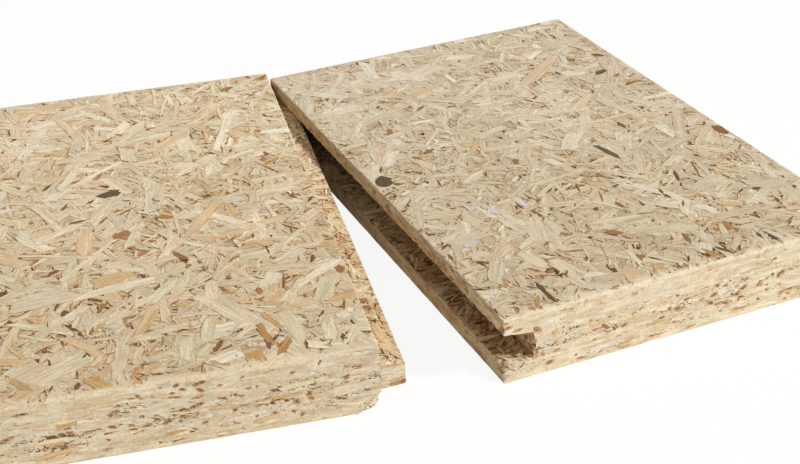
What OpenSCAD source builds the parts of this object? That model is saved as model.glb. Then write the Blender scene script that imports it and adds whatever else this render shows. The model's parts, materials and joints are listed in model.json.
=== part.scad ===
// Two short cut-offs of coarse-chip particleboard flooring, lying flat side by side.
// One has a milled groove along its edge and the other a milled tongue. At the far end the
// tongue is pushed into the groove, and towards the front the boards open like a V.
// Each board is pressed in one piece, so each is one solid.

/* [Groove board] */
// Thickness of both boards
board_t = 22; // [18:1:38]
// Length of the groove board along its grooved edge
groove_board_l = 203; // [120:1:400]
// Width of the groove board, from its grooved edge to the sawn one
groove_board_w = 129; // [60:1:400]

/* [Tongue board] */
// Length of the tongue board along its tongue
tongue_board_l = 208; // [120:1:400]
// Width of the tongue board, without the tongue
tongue_board_w = 129; // [60:1:400]

/* [Tongue] */
// How far the tongue stands out of its shoulder
tongue_reach = 7.4; // [5:0.1:12]
// Thickness of the tongue where it leaves the shoulder
tongue_root_t = 9; // [6:0.1:10]
// Step from the top face down to the tongue
upper_shoulder = 5.7; // [4:0.1:7]
// How far the tongue's top falls on the way to its tip
tongue_fall = 1; // [0:0.1:1.5]
// How far the tongue's underside rises on the way to its tip
tongue_rise = 0.7; // [0:0.1:1.5]
// Radius of the tip's two rounded edges
tip_round = 1.2; // [0.4:0.1:1.4]

/* [Groove] */
// Free height above the tongue in the closed joint
play_above = 0.3; // [0.2:0.1:0.8]
// Free height below the tongue in the closed joint
play_below = 0.9; // [0.2:0.1:1.2]
// How much deeper the groove is than the tongue is long
groove_spare = 2.4; // [0.5:0.1:4]

/* [Broken corners] */
// Width of the break in the groove board's lower lip, across the board
lip_break_w = 8; // [3:0.5:9]
// Length of that break along the lip
lip_break_l = 6; // [3:0.5:15]
// Thickness that is left under that break
lip_break_floor = 0.9; // [0.5:0.1:2]
// Width of the break under the tongue, across the board
shoulder_break_w = 7.3; // [3:0.1:12]
// Length of that break along the shoulder
shoulder_break_l = 10; // [3:0.5:15]
// Height of shoulder that is left between that break and the tongue
shoulder_break_roof = 0.4; // [0.2:0.1:1]

/* [How the boards lie] */
// Angle between the grooved edge and the tongue
spread_angle = 10.5; // [0:0.5:20]
// Gap between the groove board's lips and the shoulder, at the groove board's far end
lip_gap = 0.5; // [0.4:0.1:1]
// How far the tongue board runs on past the groove board's far end
overrun = 6; // [0:0.5:20]

/* [Hidden] */
$fn = 48;

// Heights of the tongue's two flanks at the shoulder and at the tip
root_top = board_t - upper_shoulder;
root_bottom = root_top - tongue_root_t;
tip_top = root_top - tongue_fall;
tip_bottom = root_bottom + tongue_rise;

// The groove's flanks run parallel to the tongue's, and on to the groove's floor
groove_depth = tongue_reach + groove_spare;
depth_share = groove_depth / tongue_reach;
mouth_top = root_top + play_above;
mouth_bottom = root_bottom - play_below;
floor_top = mouth_top - tongue_fall * depth_share;
floor_bottom = mouth_bottom + tongue_rise * depth_share;

// Directions along the tongue board's shoulder and across the board, seen from above
along = [sin(spread_angle), cos(spread_angle)];
across = [-cos(spread_angle), sin(spread_angle)];
// The shoulder's ends. The groove board's near corner under its lip is [0, 0] here.
far_shoulder = [-lip_gap, groove_board_l] + overrun * along;
near_shoulder = far_shoulder - tongue_board_l * along;

// Corners of both boards in plan, and the middle of the box around them
plan_corners = concat(
    [[0, 0], [groove_board_w, groove_board_l]],
    [for (end = [near_shoulder, far_shoulder], reach = [-tongue_reach, tongue_board_w])
        end + reach * across]
);
middle = [for (k = [0, 1])
    let (values = [for (corner = plan_corners) corner[k]]) (min(values) + max(values)) / 2];

// Share by which a broken-off wedge is drawn past the corner that it takes away
wedge_spare = 0.1;

// Extrudes a cross-section, drawn as width and height, along the board
module along_board(length) {
    translate([0, length, 0]) rotate([90, 0, 0]) linear_extrude(length) children();
}

// The wedge that a slanting break takes from a square corner at the origin
module corner_wedge(w, l, h) {
    translate(-wedge_spare * [w, l, h]) scale(1 + 3 * wedge_spare)
        polyhedron(
            points = [[0, 0, 0], [w, 0, 0], [0, l, 0], [0, 0, h]],
            faces = [[0, 1, 2], [0, 3, 1], [0, 2, 3], [1, 3, 2]]
        );
}

module groove_section() {
    polygon([
        [0, 0], [groove_board_w, 0], [groove_board_w, board_t], [0, board_t],
        [0, mouth_top], [groove_depth, floor_top],
        [groove_depth, floor_bottom], [0, mouth_bottom]
    ]);
}

module tongue_section() {
    straight = tongue_reach - tip_round;
    translate([-tongue_board_w, 0]) square([tongue_board_w, board_t]);
    polygon([
        [-tongue_reach, root_bottom], [0, root_bottom], [straight, tip_bottom],
        [tongue_reach, tip_bottom + tip_round], [tongue_reach, tip_top - tip_round],
        [straight, tip_top], [0, root_top], [-tongue_reach, root_top]
    ]);
    for (z = [tip_bottom + tip_round, tip_top - tip_round])
        translate([straight, z]) circle(tip_round);
}

module groove_board() {
    color("#dccba6") translate([-middle[0], -middle[1], 0]) difference() {
        along_board(groove_board_l) groove_section();
        translate([0, 0, mouth_bottom]) mirror([0, 0, 1])
            corner_wedge(lip_break_w, lip_break_l, mouth_bottom - lip_break_floor);
    }
}

module tongue_board() {
    color("#d8c59c") translate([near_shoulder[0] - middle[0], near_shoulder[1] - middle[1], 0])
        rotate([0, 0, -spread_angle]) difference() {
            along_board(tongue_board_l) tongue_section();
            mirror([1, 0, 0])
                corner_wedge(shoulder_break_w, shoulder_break_l, root_bottom - shoulder_break_roof);
        }
}

groove_board();
tongue_board();
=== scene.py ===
"""Two tongue-and-groove particleboard cut-offs, lying side by side on a pale table.

Lengths are in metres."""

import json
import math

import bpy
import numpy as np
from mathutils import Matrix, Quaternion, Vector, noise


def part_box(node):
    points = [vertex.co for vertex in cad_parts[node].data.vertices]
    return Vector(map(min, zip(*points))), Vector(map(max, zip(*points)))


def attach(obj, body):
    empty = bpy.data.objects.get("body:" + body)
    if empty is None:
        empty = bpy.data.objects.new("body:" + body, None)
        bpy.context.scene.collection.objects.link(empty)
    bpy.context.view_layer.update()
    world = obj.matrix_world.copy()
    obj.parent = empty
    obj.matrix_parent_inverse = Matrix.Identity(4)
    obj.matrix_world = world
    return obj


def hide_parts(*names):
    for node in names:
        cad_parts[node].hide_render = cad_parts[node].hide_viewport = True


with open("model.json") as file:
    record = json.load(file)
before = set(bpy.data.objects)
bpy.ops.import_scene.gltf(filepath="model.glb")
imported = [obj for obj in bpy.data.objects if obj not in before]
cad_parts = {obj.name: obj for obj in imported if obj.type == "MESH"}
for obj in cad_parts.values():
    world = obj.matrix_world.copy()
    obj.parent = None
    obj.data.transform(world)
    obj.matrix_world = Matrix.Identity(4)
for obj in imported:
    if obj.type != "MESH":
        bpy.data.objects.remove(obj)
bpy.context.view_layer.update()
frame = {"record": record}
bpy.context.scene.view_settings.view_transform = "Standard"
MM = 0.001


# ---------------------------------------------------------------------------------------------
# Table, light and camera
# A pale table top, one soft lamp low on the right and an even white room around it. The camera
# looks down along the joint from the front left, over the open end of the V.

groove_low, groove_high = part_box("groove_board")
tongue_low, tongue_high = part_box("tongue_board")
THICKNESS = groove_high.z


def srgb(red, green, blue):
    """A colour as it looks on a screen, 0 to 255, in the linear values that a shader takes."""
    parts = [part / 255 for part in (red, green, blue)]
    return [part / 12.92 if part <= 0.04045 else ((part + 0.055) / 1.055) ** 2.4 for part in parts] + [1.0]


def new_material(name):
    """A material with only its output, ready for nodes."""
    material = bpy.data.materials.new(name)
    material.use_nodes = True
    material.node_tree.nodes.clear()
    return material, material.node_tree, material.node_tree.nodes.new("ShaderNodeOutputMaterial")


def math_node(tree, operation, first, second):
    """A Math node on two sockets or numbers, which gives back its output."""
    node = tree.nodes.new("ShaderNodeMath")
    node.operation = operation
    for socket, value in zip(node.inputs, (first, second)):
        if isinstance(value, (int, float)):
            socket.default_value = value
        else:
            tree.links.new(value, socket)
    return node.outputs[0]


def white_to_camera(tree, plain, white, share):
    """Mixes a plain shader with white for the camera, for mirrors and for glass, by that share."""
    path = tree.nodes.new("ShaderNodeLightPath")
    seen = math_node(tree, "MAXIMUM", path.outputs["Is Camera Ray"], path.outputs["Is Glossy Ray"])
    seen = math_node(tree, "MAXIMUM", seen, path.outputs["Is Transmission Ray"])
    mix = tree.nodes.new("ShaderNodeMixShader")
    tree.links.new(math_node(tree, "MULTIPLY", seen, share), mix.inputs[0])
    tree.links.new(plain.outputs[0], mix.inputs[1])
    tree.links.new(white.outputs[0], mix.inputs[2])
    return mix


TABLE_SIDE = 6.0
TABLE_WHITE_SHARE = 0.9
bpy.ops.object.select_all(action="DESELECT")
bpy.ops.mesh.primitive_plane_add(size=TABLE_SIDE)
table = bpy.context.object
table.name = "table_top"
table_coat, tree, output = new_material("table_top")
coat = tree.nodes.new("ShaderNodeBsdfDiffuse")
coat.inputs["Color"].default_value = srgb(242, 241, 238)
coat_mix = white_to_camera(tree, coat, tree.nodes.new("ShaderNodeEmission"), TABLE_WHITE_SHARE)
tree.links.new(coat_mix.outputs[0], output.inputs["Surface"])
table.data.materials.append(table_coat)

ROOM_LIGHT = 0.45
room = bpy.data.worlds.new("white_room")
bpy.context.scene.world = room
room.use_nodes = True
room.node_tree.nodes.clear()
room_walls = room.node_tree.nodes.new("ShaderNodeBackground")
room_walls.inputs["Strength"].default_value = ROOM_LIGHT
room_white = room.node_tree.nodes.new("ShaderNodeBackground")
room_mix = white_to_camera(room.node_tree, room_walls, room_white, 1.0)
room_output = room.node_tree.nodes.new("ShaderNodeOutputWorld")
room.node_tree.links.new(room_mix.outputs[0], room_output.inputs["Surface"])

LAMP_FROM = Vector((1.35, -1.05, 1.2)).normalized()
LAMP_DISTANCE = 5.0
softbox = bpy.data.lights.new("softbox", "AREA")
softbox.shape = "DISK"
softbox.size = 0.75
softbox.energy = 277.0
softbox.color = (1.0, 0.985, 0.96)
softbox_stand = bpy.data.objects.new("softbox", softbox)
softbox_stand.location = LAMP_FROM * LAMP_DISTANCE
softbox_stand.rotation_euler = LAMP_FROM.to_track_quat("Z", "Y").to_euler()
bpy.context.scene.collection.objects.link(softbox_stand)

VIEW_TURN = math.radians(22.29)
VIEW_DROP = math.radians(28.79)
VIEW_ROLL = math.radians(-2.85)
VIEW_DISTANCE = 0.5002
view_aim = Vector((0.0126, -0.0529, THICKNESS))
view_line = Vector((
    math.sin(VIEW_TURN) * math.cos(VIEW_DROP),
    math.cos(VIEW_TURN) * math.cos(VIEW_DROP),
    -math.sin(VIEW_DROP),
))
lens = bpy.data.cameras.new("camera")
lens.sensor_width = 36.0
lens.lens = 70.1
camera = bpy.data.objects.new("camera", lens)
camera.location = view_aim - VIEW_DISTANCE * view_line
camera.rotation_mode = "QUATERNION"
camera.rotation_quaternion = view_line.to_track_quat("-Z", "Y") @ Quaternion((0, 0, 1), VIEW_ROLL)
bpy.context.scene.collection.objects.link(camera)
bpy.context.scene.camera = camera


# ---------------------------------------------------------------------------------------------
# Body of the groove board
# Wood flakes and resin, pressed flat and sawn to size, with a groove milled along one edge.
# The body is all that lies under the face flakes: its sides show the flakes cut through, with
# small voids between them, and inside a narrow rim its faces are the bed of the face flakes.

BED_DEPTH = 0.5 * MM
RIM = 1.4 * MM
STEP_LENGTH = 8.1 * MM
SIDE_CUTS = 15
TOUCH = 0.02 * MM
UNDER_WEAR = 0.25
UNDER_SEED = 20
SAW_GRAIN = 0.045 * MM
SAW_WAVES = 0.09 * MM
VOID_DEPTH = (0.3 * MM, 0.7 * MM)
TORN_FIBRES = 0.35 * MM
FLANK_ROOM = 11 * MM
END_SCALE = 1.5
FACE_SCALE = 0.48
SEED_STEP = 17.3

# For each way that a side can face: its outside, and the axes that it runs and rises along.
WAYS = {
    "near": ((0, -1, 0), 0, 2),
    "far": ((0, 1, 0), 0, 2),
    "left": ((-1, 0, 0), 1, 2),
    "right": ((1, 0, 0), 1, 2),
    "up": ((0, 0, 1), 1, 0),
    "down": ((0, 0, -1), 1, 0),
}


def open_section(name, columns, levels):
    """Starts a board as an upright grid at its near end: a place for each column, with its levels."""
    bpy.ops.object.select_all(action="DESELECT")
    across_cells, up_cells = len(columns) - 1, len(levels[0]) - 1
    bpy.ops.mesh.primitive_grid_add(
        x_subdivisions=across_cells, y_subdivisions=up_cells, size=1, rotation=(math.pi / 2, 0, 0)
    )
    bpy.ops.object.transform_apply(location=True, rotation=True, scale=True)
    board = bpy.context.object
    board.name = name
    for vertex in board.data.vertices:
        column = round((vertex.co.x + 0.5) * across_cells)
        row = round((vertex.co.z + 0.5) * up_cells)
        vertex.co = (columns[column], 0, levels[column][row])
    return board


def pick_faces(board, wanted):
    """Selects the faces whose centre and normal pass a test, and leaves the board in edit mode."""
    bpy.ops.object.mode_set(mode="OBJECT")
    for part in (board.data.vertices, board.data.edges):
        part.foreach_set("select", np.zeros(len(part), bool))
    chosen = [wanted(face.center, face.normal) for face in board.data.polygons]
    board.data.polygons.foreach_set("select", chosen)
    bpy.ops.object.mode_set(mode="EDIT")
    bpy.ops.mesh.select_mode(type="FACE")


def run_out(board, length):
    """Extrudes the section along the board in short steps, and closes it at the far end."""
    pick_faces(board, lambda centre, normal: True)
    steps = round(length / STEP_LENGTH)
    for _ in range(steps):
        bpy.ops.mesh.extrude_region_move(TRANSFORM_OT_translate={"value": (0, length / steps, 0)})
    bpy.ops.mesh.select_all(action="SELECT")
    bpy.ops.mesh.normals_make_consistent(inside=False)


def sink_faces(board):
    """Lowers both pressed faces, inside a rim, to the bed that the face flakes lie on."""
    for level, way in ((0, 1), (THICKNESS, -1)):
        pick_faces(board, lambda centre, normal: abs(centre.z - level) < TOUCH and abs(normal.z) > 0.9)
        bpy.ops.mesh.inset(thickness=RIM)
        bpy.ops.transform.translate(value=(0, 0, way * BED_DEPTH))


def cut_fine(board):
    """Divides the sawn and milled sides into cells of about half a millimetre."""
    pick_faces(board, lambda centre, normal: BED_DEPTH + TOUCH < centre.z < THICKNESS - BED_DEPTH - TOUCH)
    bpy.ops.mesh.subdivide(number_cuts=SIDE_CUTS)
    bpy.ops.object.mode_set(mode="OBJECT")


def lay_out(board, length):
    """Lays a straight board's sides out on its map, before they are roughened.

    The long sides and flanks come first, then the ends, half as large again, then the two pressed
    faces beside each other, at half the scale."""
    mesh = board.data
    places = places_of(mesh)
    low = places.min(0)
    count = len(mesh.polygons)
    normal, centre = np.zeros(3 * count), np.zeros(3 * count)
    mesh.polygons.foreach_get("normal", normal)
    mesh.polygons.foreach_get("center", centre)
    normal_x, normal_y, normal_z = normal.reshape(-1, 3).T
    level = abs(centre.reshape(-1, 3)[:, 2] - THICKNESS / 2)
    pressed = (level > THICKNESS / 2 - BED_DEPTH - TOUCH) & (abs(normal_z) > 0.5)
    upper, lower = normal_z > 0.5, normal_z < -0.5
    near, far = normal_y < -0.5, normal_y > 0.5
    row = np.select(
        [pressed & (normal_z > 0), pressed, upper, lower, near, far, normal_x < 0],
        [6, 7, 2, 3, 4, 5, 0],
        default=1,
    )
    sizes, corners = np.zeros(count, int), np.zeros(len(mesh.loops), int)
    mesh.polygons.foreach_get("loop_total", sizes)
    mesh.loops.foreach_get("vertex_index", corners)
    row = np.repeat(row, sizes)
    at = (places - low)[corners]
    side, flank, end = (1, 2, 1, THICKNESS), (1, 0, 1, FLANK_ROOM), (0, 2, END_SCALE, THICKNESS)
    top, underside = (1, 0, FACE_SCALE, 0), (1, 0, FACE_SCALE, np.ptp(places[:, 0]))
    on_map = np.zeros((len(corners), 2))
    up = 0
    rows = (side, side, flank, flank, end, end, top, underside)
    for number, (run, rise, scale, tall) in enumerate(rows):
        mine = row == number
        on_map[mine] = at[mine][:, (run, rise)] * scale + (0, up)
        if rows[number] is flank and mine.any():
            on_map[mine, 1] -= scale * at[mine, rise].min()
        if rows[number] is underside:
            on_map[mine, 0] += 0.5 * length
        up += scale * tall + MM
    layer = mesh.uv_layers.new(name="OFBake")
    layer.data.foreach_set("uv", (on_map / max(length + 2 * MM, up)).ravel())


def places_of(mesh):
    """The places of a mesh's corners, as an array."""
    places = np.zeros(3 * len(mesh.vertices))
    mesh.vertices.foreach_get("co", places)
    return places.reshape(-1, 3)


def set_places(thing, places):
    """Moves the corners of an object's mesh to the given places."""
    thing.data.vertices.foreach_set("co", places.ravel())


def waves(places, wavelengths, seed):
    """Smooth noise from -1 to 1 at each place, with its own wavelength along each axis."""
    return np.array([noise.noise(place) for place in places / wavelengths + SEED_STEP * seed])


def drawn_voids(rng, low, high, run, rise, count):
    """Draws the voids of a side, which gather in nests: spot, level, length, height and turn."""
    nests = rng.uniform(0.1, 0.85, (max(count // 6, 1), 2))
    chosen = nests[rng.integers(len(nests), size=count)]
    spots = low[run] + (high[run] - low[run]) * chosen[:, 0] * 1.15 + rng.normal(0, 4 * MM, count)
    levels = low[rise] + (high[rise] - low[rise]) * chosen[:, 1] + rng.normal(0, 1.2 * MM, count)
    longs = np.clip(1.5 * MM * np.exp(rng.normal(0, 0.45, count)), 0.8 * MM, 4 * MM)
    highs = np.clip(0.5 * longs, 0.6 * MM, 1.1 * MM)
    return np.stack([spots, levels, longs, highs, rng.normal(0, 0.35, count)], 1)


def roughen(board, sides):
    """Moves the corners of each side inwards: saw marks, and voids where the flakes don't meet.

    A side is which corners it takes, the way it faces, how many voids are drawn for it (none where it
    is sound), and its chosen voids."""
    mesh = board.data
    places = places_of(mesh)
    moved = places.copy()
    hollow = np.zeros(len(places))
    for seed, (takes, way, count, chosen) in enumerate(sides):
        outwards, run, rise = WAYS[way]
        on = np.flatnonzero(takes(*places.T))
        at = places[on]
        depth = SAW_GRAIN * (2.2 + waves(at, (1.1 * MM, 1.1 * MM, 1.1 * MM), seed))
        depth += SAW_WAVES * np.clip(waves(at, (7 * MM, 7 * MM, 0.9 * MM), seed + 40), 0, 1)
        inside_any = np.zeros(len(on))
        rng = np.random.default_rng(seed + 7 * len(sides))
        voids = drawn_voids(rng, at.min(0), at.max(0), run, rise, count)
        chosen = np.array(chosen, float).reshape(-1, 5) * (MM, MM, MM, MM, math.radians(1))
        for spot, level, long, high, turn in np.concatenate([voids, chosen]):
            along, up = at[:, run] - spot, at[:, rise] - level
            by = np.flatnonzero(np.hypot(along, up) < 2 * long)
            along, up = along[by], up[by]
            tilted = np.hypot(
                (along * math.cos(turn) + up * math.sin(turn)) / (0.6 * long),
                (up * math.cos(turn) - along * math.sin(turn)) / (0.6 * high),
            )
            inside = np.clip(1.65 - 1.35 * tilted, 0, 1)
            depth[by] = np.maximum(depth[by], rng.uniform(*VOID_DEPTH) * inside)
            inside_any[by] = np.maximum(inside_any[by], inside)
        moved[on] -= depth[:, None] * np.array(outwards)
        hollow[on] = np.maximum(hollow[on], inside_any) - (count == 0)
    set_places(board, moved)
    mesh.attributes.new("hollow", "FLOAT", "POINT").data.foreach_set("value", hollow)


def read_points(mesh, name, kind, width):
    """One attribute of a mesh's corners, as an array."""
    values = np.zeros(width * len(mesh.vertices))
    mesh.attributes[name].data.foreach_get(kind, values)
    return values.reshape(-1, width)


def chip_arris(board, axes, line, way, depth, wavelengths, seed):
    """Chips a long arris: pushes its line inwards by uneven amounts, and what is near it less.

    Axes are the two axes across the arris and the one along it. Line is its place on the first two,
    and way is how it is pushed along them."""
    places = places_of(board.data)
    first, second, along = axes
    off = np.hypot(places[:, first] - line[0], places[:, second] - line[1])
    full = 2.2 * depth
    near = np.flatnonzero(off < full)
    run = np.stack([places[near, along], 0 * near, 0 * near], 1)
    notch = np.zeros(len(near))
    for number, wavelength in enumerate(wavelengths):
        notch += np.clip(waves(run, (wavelength, 1, 1), seed + number) - 0.1, 0, 1) / len(wavelengths)
    push = full * notch * (1 - off[near] / full)
    places[near, first] += push * way[0]
    places[near, second] += push * way[1]
    set_places(board, places)


def break_corner(board, corner, legs, ledges, torn):
    """Breaks a corner off between the ends of its three legs.

    Ledges say how much the layers at some heights keep of what is outside that plane, from 0 to 1, and
    torn how dark the fibres are there, painted in the voids' colours, which are partly painted shade."""
    places = places_of(board.data)
    slope = 1 / np.array(legs)
    inwards = slope / np.linalg.norm(slope)
    from_corner = places - np.array(corner)
    lost = (1 - from_corner @ slope) / np.linalg.norm(slope)
    near = (from_corner * np.sign(legs) > -0.5 * MM).all(1) & (lost > 0)
    heights, shares = np.array(ledges).T
    kept = lost[near] * np.interp(places[near, 2], heights, shares)
    fibres = TORN_FIBRES * np.abs(waves(places[near], (2 * MM, 2 * MM, 0.7 * MM), 6))
    places[near] += (lost[near] - kept + fibres)[:, None] * inwards
    set_places(board, places)
    hollow = read_points(board.data, "hollow", "value", 1).ravel()
    hollow[near] = np.maximum(hollow[near], torn * fibres / fibres.max())
    board.data.attributes["hollow"].data.foreach_set("value", hollow)


def arris_radius(run, seed, least, most):
    """How far the wear reaches in from an arris, which changes along it."""
    spots = np.stack([run, run * 0, run * 0], 1)
    swing = 0.5 * waves(spots, (9 * MM, 1, 1), seed) + 0.3 * waves(spots, (1.7 * MM, 1, 1), seed + 3) + 0.5
    return least + (most - least) * np.clip(swing, 0, 1)


def worn(places, field, wear, seed):
    """Rounds off the arrises of a pressed face. Places are measured from the face, up is its outside.

    Wear is the least and the most radius at each edge of the field, in the field's order."""
    places = places.copy()
    x_low, x_high, y_low, y_high = field
    edges = ((0, x_low, 1), (0, x_high, -1), (1, y_low, 1), (1, y_high, -1))
    for number, (axis, edge, inwards) in enumerate(edges):
        least, most = wear[number]
        off = inwards * (places[:, axis] - edge)
        near = np.flatnonzero((off < 1.2 * most) & (off > -TOUCH) & (places[:, 2] > -1.2 * most))
        radius = arris_radius(places[near, 1 - axis], seed + number, least, most)
        off, down = np.maximum(off[near], 0), np.maximum(-places[near, 2], 0)
        short = np.maximum(radius - off, 0)
        deep = np.maximum(radius - down, 0)
        away = np.hypot(short, deep)
        pull = np.where((away > radius) & (away > 0), 1 - radius / np.maximum(away, 1e-9), 0)
        places[near, axis] += inwards * short * pull
        places[near, 2] -= deep * pull
    return places


def worn_twice(places, field, wear, seed):
    """Wears the arrises round a board's upper face, and less round its underside."""
    lift = (0, 0, THICKNESS)
    places = worn(places - lift, field, wear, seed) + lift
    less = [(UNDER_WEAR * least, UNDER_WEAR * most) for least, most in wear]
    return worn(places * (1, 1, -1), field, less, seed + UNDER_SEED) * (1, 1, -1)


def noise_texture(tree, vector, scale, **values):
    """Noise on stretched coordinates, with the sockets of its node set to the given values."""
    stretch = tree.nodes.new("ShaderNodeMapping")
    stretch.inputs["Scale"].default_value = scale
    tree.links.new(vector, stretch.inputs["Vector"])
    node = tree.nodes.new("ShaderNodeTexNoise")
    node.inputs["Scale"].default_value = 1.0
    tree.links.new(stretch.outputs[0], node.inputs["Vector"])
    for name, value in values.items():
        node.inputs[name].default_value = value
    return node.outputs["Fac"]


def spread(tree, value, low, high, to_low=0.0, to_high=1.0):
    """Maps the range low to high onto another one, held at its ends."""
    node = tree.nodes.new("ShaderNodeMapRange")
    tree.links.new(value, node.inputs["Value"])
    for name, number in zip(("From Min", "From Max", "To Min", "To Max"), (low, high, to_low, to_high)):
        node.inputs[name].default_value = number
    return node.outputs["Result"]


def tint(tree, mode, share, first, second):
    """Mixes two colours, each a socket or a colour, by a share that is a socket or a number."""
    node = tree.nodes.new("ShaderNodeMix")
    node.data_type = "RGBA"
    node.blend_type = mode
    for socket, value in zip((node.inputs["Factor"], node.inputs[6], node.inputs[7]), (share, first, second)):
        if isinstance(value, bpy.types.NodeSocket):
            tree.links.new(value, socket)
        else:
            socket.default_value = value
    return node.outputs[2]


def colour_ramp(tree, value, stops):
    """Colours along a value: each stop is where it lies and its colour as seen on a screen."""
    node = tree.nodes.new("ShaderNodeValToRGB")
    tree.links.new(value, node.inputs[0])
    while len(node.color_ramp.elements) < len(stops):
        node.color_ramp.elements.new(0.5)
    for element, (place, colour) in zip(node.color_ramp.elements, stops):
        element.position = place
        element.color = srgb(*colour)
    return node.outputs["Color"]


def parts_of(tree, vector):
    """The three parts of a vector, as sockets."""
    node = tree.nodes.new("ShaderNodeSeparateXYZ")
    tree.links.new(vector, node.inputs[0])
    return node.outputs


def attribute(tree, name):
    """The outputs of a node that reads one attribute of the mesh."""
    node = tree.nodes.new("ShaderNodeAttribute")
    node.attribute_name = name
    return node.outputs


def new_group(name, inputs, outputs):
    """An empty shader node group: inputs have a name and a kind, outputs a name, and are numbers."""
    group = bpy.data.node_groups.new(name, "ShaderNodeTree")
    for label, kind in inputs.items():
        group.interface.new_socket(label, in_out="INPUT", socket_type="NodeSocket" + kind)
    for label in outputs:
        group.interface.new_socket(label, in_out="OUTPUT", socket_type="NodeSocketFloat")
    return group, group.nodes.new("NodeGroupInput"), group.nodes.new("NodeGroupOutput")


def close_group(group, leave, **sources):
    """Links what a node group gives out."""
    for name, source in sources.items():
        group.links.new(source, leave.inputs[name])


def use_group(tree, group, **links):
    """Places a node group in a material and links its inputs."""
    node = tree.nodes.new("ShaderNodeGroup")
    node.node_tree = group
    for name, source in links.items():
        tree.links.new(source, node.inputs[name])
    return node


def board_millimetres(tree, place):
    """Object coordinates turned to lie along a board's own edges, in millimetres from its corner."""
    coordinates = tree.nodes.new("ShaderNodeTexCoord")
    turn = tree.nodes.new("ShaderNodeMapping")
    turn.vector_type = "TEXTURE"
    turn.inputs["Location"].default_value = place.to_translation()
    turn.inputs["Rotation"].default_value = place.to_euler()
    turn.inputs["Scale"].default_value = (MM, MM, MM)
    tree.links.new(coordinates.outputs["Object"], turn.inputs["Vector"])
    return turn.outputs[0]


# Flakes cut through by a saw: a felt of cut fibres over lying lenses, some of them blushed, thin
# lines of resin round them, and small voids that gather in lying nests, most of them halfway up.
# Place is in millimetres, with z through the board.
cut_flakes, entry, leave = new_group(
    "cut_flakes", {"Place": "Vector", "Voids": "Float"}, ("Tone", "Blush", "Line", "Fuzz", "Void", "Height")
)
place = entry.outputs["Place"]
lenses = noise_texture(cut_flakes, place, (0.15, 0.15, 0.5), Detail=3.0, Roughness=0.6, Distortion=0.5)
blush = noise_texture(cut_flakes, place, (0.08, 0.08, 0.42), Detail=2.0, Distortion=0.3)
rims = noise_texture(cut_flakes, place, (0.15, 0.15, 0.8), Detail=2.0, Distortion=0.8)
fuzz = noise_texture(cut_flakes, place, (1.1, 1.1, 1.4), Detail=5.0, Roughness=0.75, Distortion=1.0)
holes = noise_texture(cut_flakes, place, (0.6, 0.6, 1.15), Detail=4.0, Roughness=0.65, Distortion=1.2)
nests = noise_texture(cut_flakes, place, (0.06, 0.06, 0.28), Detail=2.0)
off_rim = math_node(cut_flakes, "ABSOLUTE", math_node(cut_flakes, "SUBTRACT", rims, 0.5), 0.0)
line = spread(cut_flakes, off_rim, 0.004, 0.03, 1.0, 0.0)
line = math_node(cut_flakes, "MULTIPLY", line, spread(cut_flakes, blush, 0.45, 0.6))
off_middle = math_node(cut_flakes, "SUBTRACT", parts_of(cut_flakes, place)[2], 10.0)
off_middle = math_node(cut_flakes, "ABSOLUTE", off_middle, 0.0)
pull = spread(cut_flakes, nests, 0.4, 0.65, -0.08, 0.08)
pull = math_node(cut_flakes, "ADD", pull, spread(cut_flakes, off_middle, 3.0, 11.0, 0.0, -0.08))
pull = math_node(cut_flakes, "ADD", pull, entry.outputs["Voids"])
holes = spread(cut_flakes, math_node(cut_flakes, "ADD", holes, pull), 0.6, 0.7)
height = math_node(cut_flakes, "MULTIPLY", lenses, 0.5)
height = math_node(cut_flakes, "ADD", height, fuzz)
height = math_node(cut_flakes, "SUBTRACT", height, math_node(cut_flakes, "MULTIPLY", holes, 1.2))
tone = spread(cut_flakes, lenses, 0.36, 0.64)
close_group(cut_flakes, leave, Tone=tone, Blush=blush, Line=line, Fuzz=fuzz, Void=holes, Height=height)


def wood_surface(tree, output, wood, roughness, height, relief):
    """Ends a finish: its colour and roughness, and a bump that is as deep as its relief."""
    shader = tree.nodes.new("ShaderNodeBsdfPrincipled")
    tree.links.new(wood, shader.inputs["Base Color"])
    tree.links.new(roughness, shader.inputs["Roughness"])
    bump = tree.nodes.new("ShaderNodeBump")
    bump.inputs["Distance"].default_value = relief
    tree.links.new(height, bump.inputs["Height"])
    tree.links.new(bump.outputs[0], shader.inputs["Normal"])
    tree.links.new(shader.outputs[0], output.inputs["Surface"])


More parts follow.
